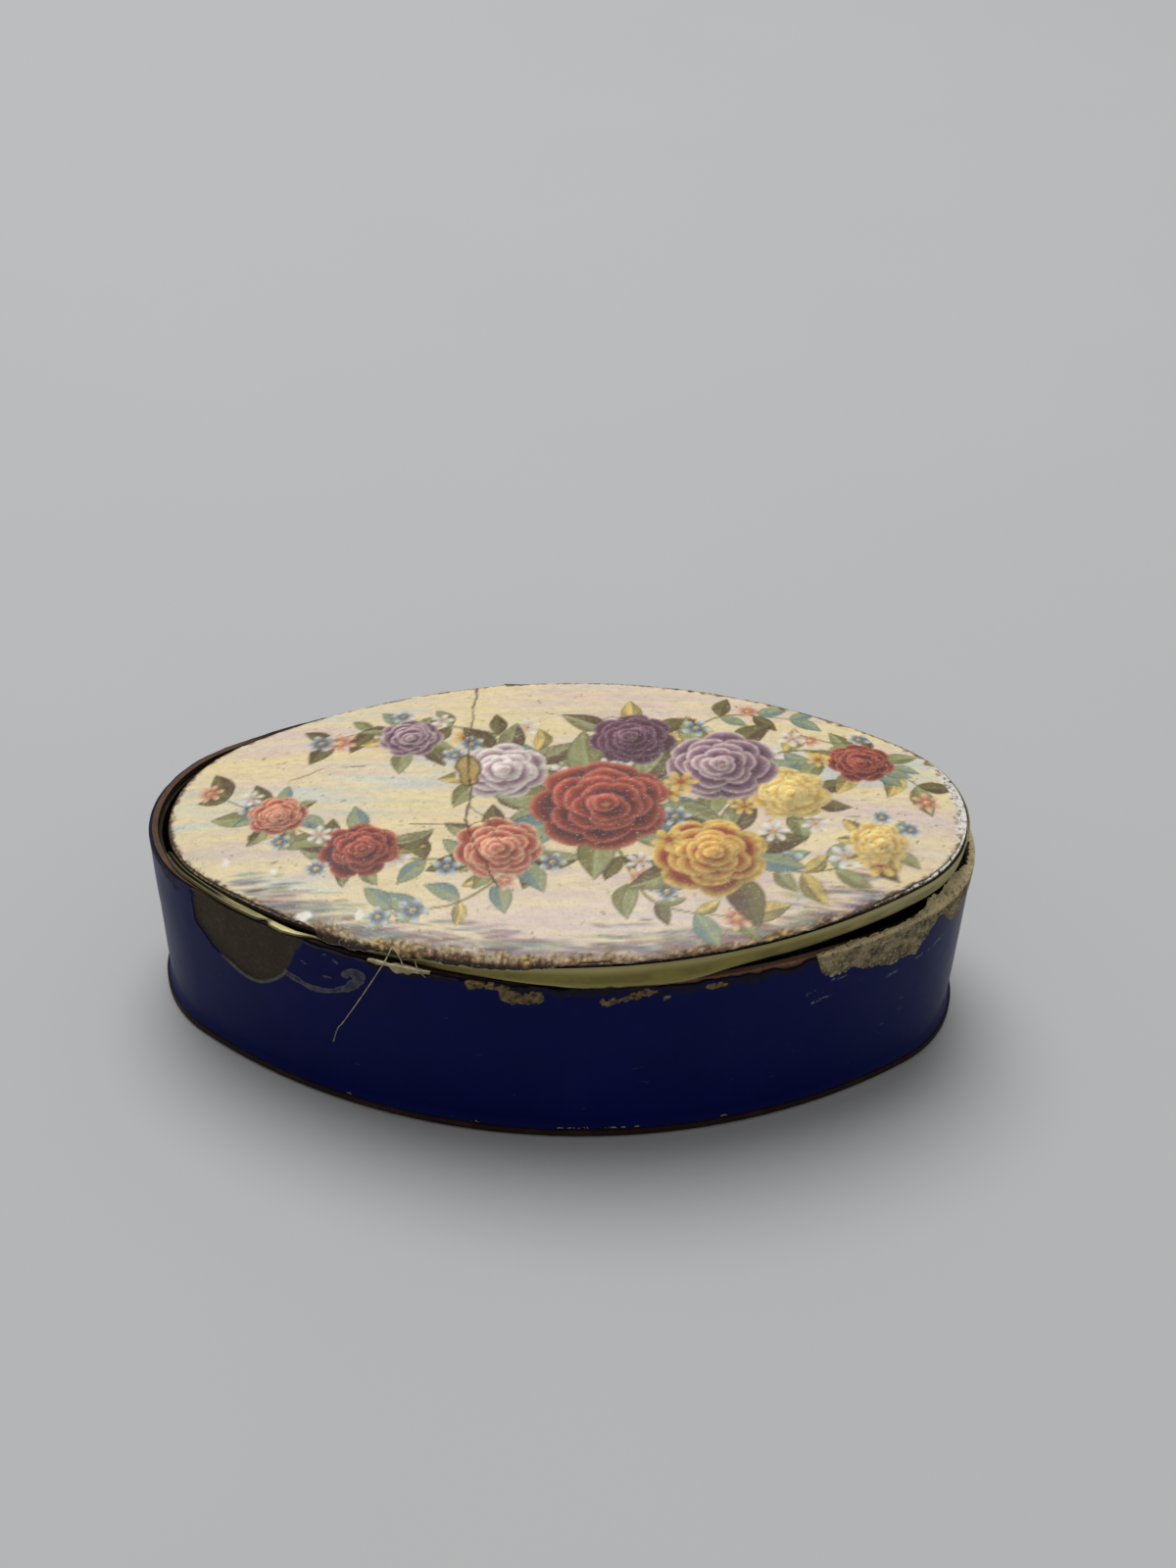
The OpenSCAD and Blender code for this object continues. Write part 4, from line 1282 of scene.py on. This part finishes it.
# Old cement and a film of glue: arc, lower edge, thickness on the wall, the inner edge's offset and height
RIGHT_CEMENT = [
    (27.9, 21.6, 0.06, -0.40, 22.08), (28.4, 19.7, 0.22, -0.45, 22.15), (30.0, 18.6, 0.28, -0.45, 22.20),
    (32.1, 18.9, 0.28, -0.60, 22.25), (34.5, 18.0, 0.30, -0.45, 22.20), (37.5, 17.4, 0.30, -0.45, 22.22),
    (40.4, 17.2, 0.28, -0.50, 22.30), (41.8, 18.9, 0.26, -0.65, 22.60), (42.4, 19.8, 0.25, -0.92, 23.42),
    (43.4, 21.2, 0.22, -0.95, 23.50), (43.9, 20.8, 0.21, -0.92, 23.10), (45.2, 19.5, 0.20, -1.02, 23.25),
    (45.9, 18.9, 0.20, -1.12, 23.62), (47.4, 18.4, 0.16, -1.20, 23.70), (48.8, 19.5, 0.11, -1.15, 23.30),
    (51.5, 19.9, 0.07, -0.75, 22.45), (55.0, 20.6, 0.05, -0.55, 22.16), (58.0, 21.6, 0.04, -0.50, 22.08),
]
FRONT_FILM = [
    (-18.7, 21.98, 0.03, -0.35, 22.03), (-18.2, 21.75, 0.06, -0.40, 22.05),
    (-17.0, 21.72, 0.06, -0.40, 22.05), (-16.4, 21.85, 0.06, -0.35, 22.05),
    (-16.0, 21.35, 0.10, -0.50, 22.10), (-15.4, 21.15, 0.12, -0.60, 22.14),
    (-14.9, 21.45, 0.12, -0.60, 22.14), (-14.3, 21.30, 0.10, -0.55, 22.10),
    (-13.7, 21.75, 0.08, -0.45, 22.06), (-12.6, 21.80, 0.05, -0.40, 22.05),
    (-12.0, 21.98, 0.03, -0.35, 22.03),
]
# Step along the arc, and steps between the corners of the outline, about CRUST_RUN apart
CRUST_STEP = 0.12
CRUST_STEPS = (4, 12, 12, 4, 14, 4, 2, 2)
CRUST_RUN = 0.16
# The outline's points where the top begins and where its inner edge lies
CRUST_TOP = sum(CRUST_STEPS[:4])
CRUST_INNER = sum(CRUST_STEPS[:5])
# Length over which a crust grows from nothing at its ends, and the thickness that has its full lumps
CRUST_END = 0.7
CRUST_FULL = 0.28


def crust_outline(arc, low, thick, inner, top):
    """Outline of a crust for each arc: up the wall, over the rim's top and back down inside the wall.

    Its corners lie at the lower edge, the thickness off the wall, the rim and the inner top of that arc,
    with even steps between them.
    """
    wall = wall_offset(np.minimum(low, RIM_Z))
    middle = (low + RIM_Z) / 2
    corners = [
        (wall - 0.04, low), (wall + 0.7 * thick, low + 0.12), (wall_offset(middle) + thick, middle),
        (thick, RIM_Z - 0.05), (0.6 * thick, RIM_Z + 0.22), (inner, top), (inner - 0.08, RIM_Z + 0.02),
        (-0.5, RIM_Z - 0.1), (wall - 0.2, low),
    ]
    corners = np.array([[np.broadcast_to(k, arc.shape) for k in corner] for corner in corners])
    corners = corners.swapaxes(1, 2)[:, :, None]
    shares = [np.linspace(0, 1, n, endpoint=False)[:, None] for n in CRUST_STEPS]
    return np.concatenate([a + (b - a) * k for k, a, b in zip(shares, corners[:-1], corners[1:])], 1)


def cement(name, knots, seed, material, grit):
    """A crust over the rim: an outline carried along the arc, shaken by coarse and fine noise."""
    table = np.array(knots)
    start, end = table[0, 0], table[-1, 0]
    arc = np.arange(start, end, CRUST_STEP)
    low, thick, inner, top = (np.interp(arc, table[:, 0], table[:, k]) for k in range(1, 5))
    low = low + grit * (2.4 * ragged(arc * 1.3, 0, seed) + 2.6 * ragged(arc * 4.5, 0, seed + 3))
    inner = inner + grit * (1.5 * ragged(arc * 2.4, 0, seed + 5) + 1.4 * ragged(arc * 7, 0, seed + 6))
    top = top + grit * 0.8 * ragged(arc * 2.4, 5, seed + 7)
    outline = crust_outline(arc, low, thick, inner, top)
    count = np.arange(sum(CRUST_STEPS))
    body = smooth(start, start + CRUST_END, arc) * smooth(end, end - CRUST_END, arc)
    shown = smooth(1, 5, count) * smooth(CRUST_INNER, CRUST_INNER - 3, count) * body[:, None]
    s = np.broadcast_to(arc[:, None], shown.shape)
    run = np.broadcast_to(count * CRUST_RUN, shown.shape)
    lumps = ragged(s * 1.2, run * 1.2, seed + 1) + 0.8 * ragged(s * 4, run * 4, seed + 2)
    swell = shown * lumps * grit * thick[:, None] / CRUST_FULL
    upward = smooth(CRUST_TOP - 6, CRUST_TOP + 4, count)
    outline[..., 0] += swell * (1 - upward)
    outline[..., 1] += swell * upward
    over_rim = outline[:, CRUST_TOP:CRUST_INNER + 2, 1]
    over_rim[:] = np.maximum(over_rim, RIM_Z + 0.02)
    points = on_wall(s, outline[..., 0], outline[..., 1])
    ledge = np.broadcast_to(smooth(CRUST_TOP - 5, CRUST_TOP + 1, count), shown.shape)
    make_piece(name, points, tube_faces(*shown.shape), material, "body",
               values={"ledge": ledge}, crease=60)


# Threads of glue at the rim, the first one down the wall: arc, distance off the wall, height
THREADS = [
    [(-16.4, -0.90, 23.55), (-16.7, -0.45, 22.7), (-17.2, 0.20, 21.6), (-19.6, 0.5, 16.7),
     (-21.8, 0.4, 12.4), (-22.6, 0.3, 11.0), (-23.4, 0.12, 8.5)],
    [(-16.2, -0.95, 23.70), (-15.7, -0.75, 23.2), (-15.1, -0.35, 22.5), (-14.9, 0.08, 21.8)],
    [(-13.8, -0.80, 22.85), (-13.6, -0.40, 22.4), (-13.1, 0.02, 22.0), (-12.5, 0.08, 21.5)],
]
THREAD_R = 0.08
THREAD_SIDES = 8


def thread(name, route, material):
    """A thin round thread: a circle carried along a smooth curve off the wall, narrowing to its end."""
    curve = rounded(route, 10, closed=False)
    turn = np.linspace(0, 2 * math.pi, THREAD_SIDES, endpoint=False)
    r = (THREAD_R * np.linspace(1, 0.6, len(curve)))[:, None]
    s = curve[:, 0:1] + r * np.cos(turn)
    out = curve[:, 1:2] + r * np.sin(turn)
    z = np.broadcast_to(curve[:, 2:3], s.shape)
    points = on_wall(s, wall_offset(np.minimum(z, RIM_Z)) + out, z)
    make_piece(name, points, tube_faces(*s.shape), material, "body")


def dress_nodes():
    """Finishes for the CAD nodes that stay as they are."""
    rim = old_metal("rim_copper", (0.008, 0.006, 0.005), (0.032, 0.020, 0.014), (0.12, 0.068, 0.044),
                    RIM_LIPS)
    foot = old_metal("foot_copper", (0.010, 0.007, 0.006), (0.040, 0.020, 0.015), (0.12, 0.050, 0.034))
    edge = old_metal("lid_copper", (0.008, 0.006, 0.005), (0.034, 0.020, 0.012), (0.11, 0.058, 0.032))
    collar = old_metal("collar_brass", (0.006, 0.005, 0.003), (0.022, 0.017, 0.008), (0.075, 0.058, 0.024))
    lining = counter_enamel()
    fittings = dull_brass()
    finishes = {
        "body_wall": rim, "base_plate": foot, "lid_plate": edge, "lid_ground": white_ground(),
        "hinge_pin": dull_steel(), "rim_collar": collar,
    }
    for node in ("base_enamel", "floor_enamel", "inner_enamel", "lid_counter_enamel"):
        finishes[node] = lining
    for node in ("body_hinge_leaf", "lid_hinge_leaf"):
        finishes[node] = fittings
    for part, count in (("body_knuckle", 3), ("lid_knuckle", 2)):
        for i in range(1, count + 1):
            finishes[f"{part}_{i}"] = fittings
    for node, material in finishes.items():
        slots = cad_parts[node].data.materials
        slots.clear()
        slots.append(material)


def stand(name, data, axes, place):
    """Stands a camera or a lamp at a place in metres, with its own axes along the given directions."""
    made = bpy.data.objects.new(name, data)
    matrix = np.eye(4)
    matrix[:3, :3] = np.stack(axes, 1)
    matrix[:3, 3] = place
    made.matrix_world = Matrix(matrix.tolist())
    bpy.context.collection.objects.link(made)
    return made


# The camera, in millimetres and degrees: it looks over the box from the front at the photograph's angle
CAMERA_PITCH = 38.487
CAMERA_DISTANCE = 227.998
CAMERA_RIGHT = 2.808
CAMERA_UP = 21.939
CAMERA_YAW = -1.125
CAMERA_ROLL = -1.625
CAMERA_LENS = 45.0


def camera():
    """Sets the camera back along its line of sight, then across and up in the picture's plane."""
    pitch, yaw, roll = (math.radians(k) for k in (CAMERA_PITCH, CAMERA_YAW, CAMERA_ROLL))
    sight = np.array([math.sin(yaw) * math.cos(pitch), math.cos(yaw) * math.cos(pitch), -math.sin(pitch)])
    level = np.array([math.cos(yaw), -math.sin(yaw), 0])
    upright = np.cross(level, sight)
    across = level * math.cos(roll) - upright * math.sin(roll)
    up = level * math.sin(roll) + upright * math.cos(roll)
    place = (-sight * CAMERA_DISTANCE + level * CAMERA_RIGHT + upright * CAMERA_UP) * MM
    data = bpy.data.cameras.new("camera")
    data.lens = CAMERA_LENS
    data.clip_start = 0.01
    bpy.context.scene.camera = stand("camera", data, [across, up, -sight], place)


# The floor's half length in metres, its colour, and how far its tone drifts
FLOOR_HALF = 4.0
FLOOR_COLOUR = (0.50, 0.505, 0.51)
FLOOR_DRIFT = 0.015


def floor():
    """A plain pale floor under the base, with a faint cloud in its tone."""
    f = Finish("floor", Specular_IOR_Level=0.15, Roughness=0.6)
    dark, light = (tuple(k * tone for k in FLOOR_COLOUR) for tone in (1 - FLOOR_DRIFT, 1 + FLOOR_DRIFT))
    material = f.set(Base_Color=f.mix(f.grain(60, 2), dark, light))
    mesh = bpy.data.meshes.new("floor")
    corners = [(x * FLOOR_HALF, y * FLOOR_HALF, 0) for x, y in ((-1, -1), (1, -1), (1, 1), (-1, 1))]
    mesh.from_pydata(corners, [], [(0, 1, 2, 3)])
    mesh.materials.append(material)
    made = bpy.data.objects.new("floor", mesh)
    bpy.context.collection.objects.link(made)


# Soft studio light, in metres and watts: a wide lamp overhead and a little behind, and an even world
LAMP_PLACE = (-0.13, 0.39, 1.10)
LAMP_AIM = (0.0, 0.0, 0.01)
LAMP_SIZE = 0.80
LAMP_POWER = 9.9
WORLD_STRENGTH = 0.31


def light():
    """The lamp, turned to face its aim, and the world."""
    data = bpy.data.lights.new("lamp", "AREA")
    data.shape = "DISK"
    data.size = LAMP_SIZE
    data.energy = LAMP_POWER
    back = np.array(LAMP_PLACE) - np.array(LAMP_AIM)
    back = back / np.linalg.norm(back)
    across = np.cross([0, 1, 0], back)
    across = across / np.linalg.norm(across)
    stand("lamp", data, [across, np.cross(back, across), back], LAMP_PLACE)
    world = bpy.data.worlds.new("studio")
    world.use_nodes = True
    sky = world.node_tree.nodes["Background"].inputs
    sky["Color"].default_value = (1, 1, 1, 1)
    sky["Strength"].default_value = WORLD_STRENGTH
    bpy.context.scene.world = world


bpy.context.scene.view_settings.view_transform = "Standard"
camera()
floor()
light()
dress_nodes()
enamel_coat()
painted_lid()
brass_band()
cement("cement_right", RIGHT_CEMENT, 30, old_cement(), 0.14)
glue_finish = dried_glue()
cement("glue_film", FRONT_FILM, 40, glue_finish, 0.05)
for number, route in enumerate(THREADS, 1):
    thread(f"glue_thread_{number}", route, glue_finish)
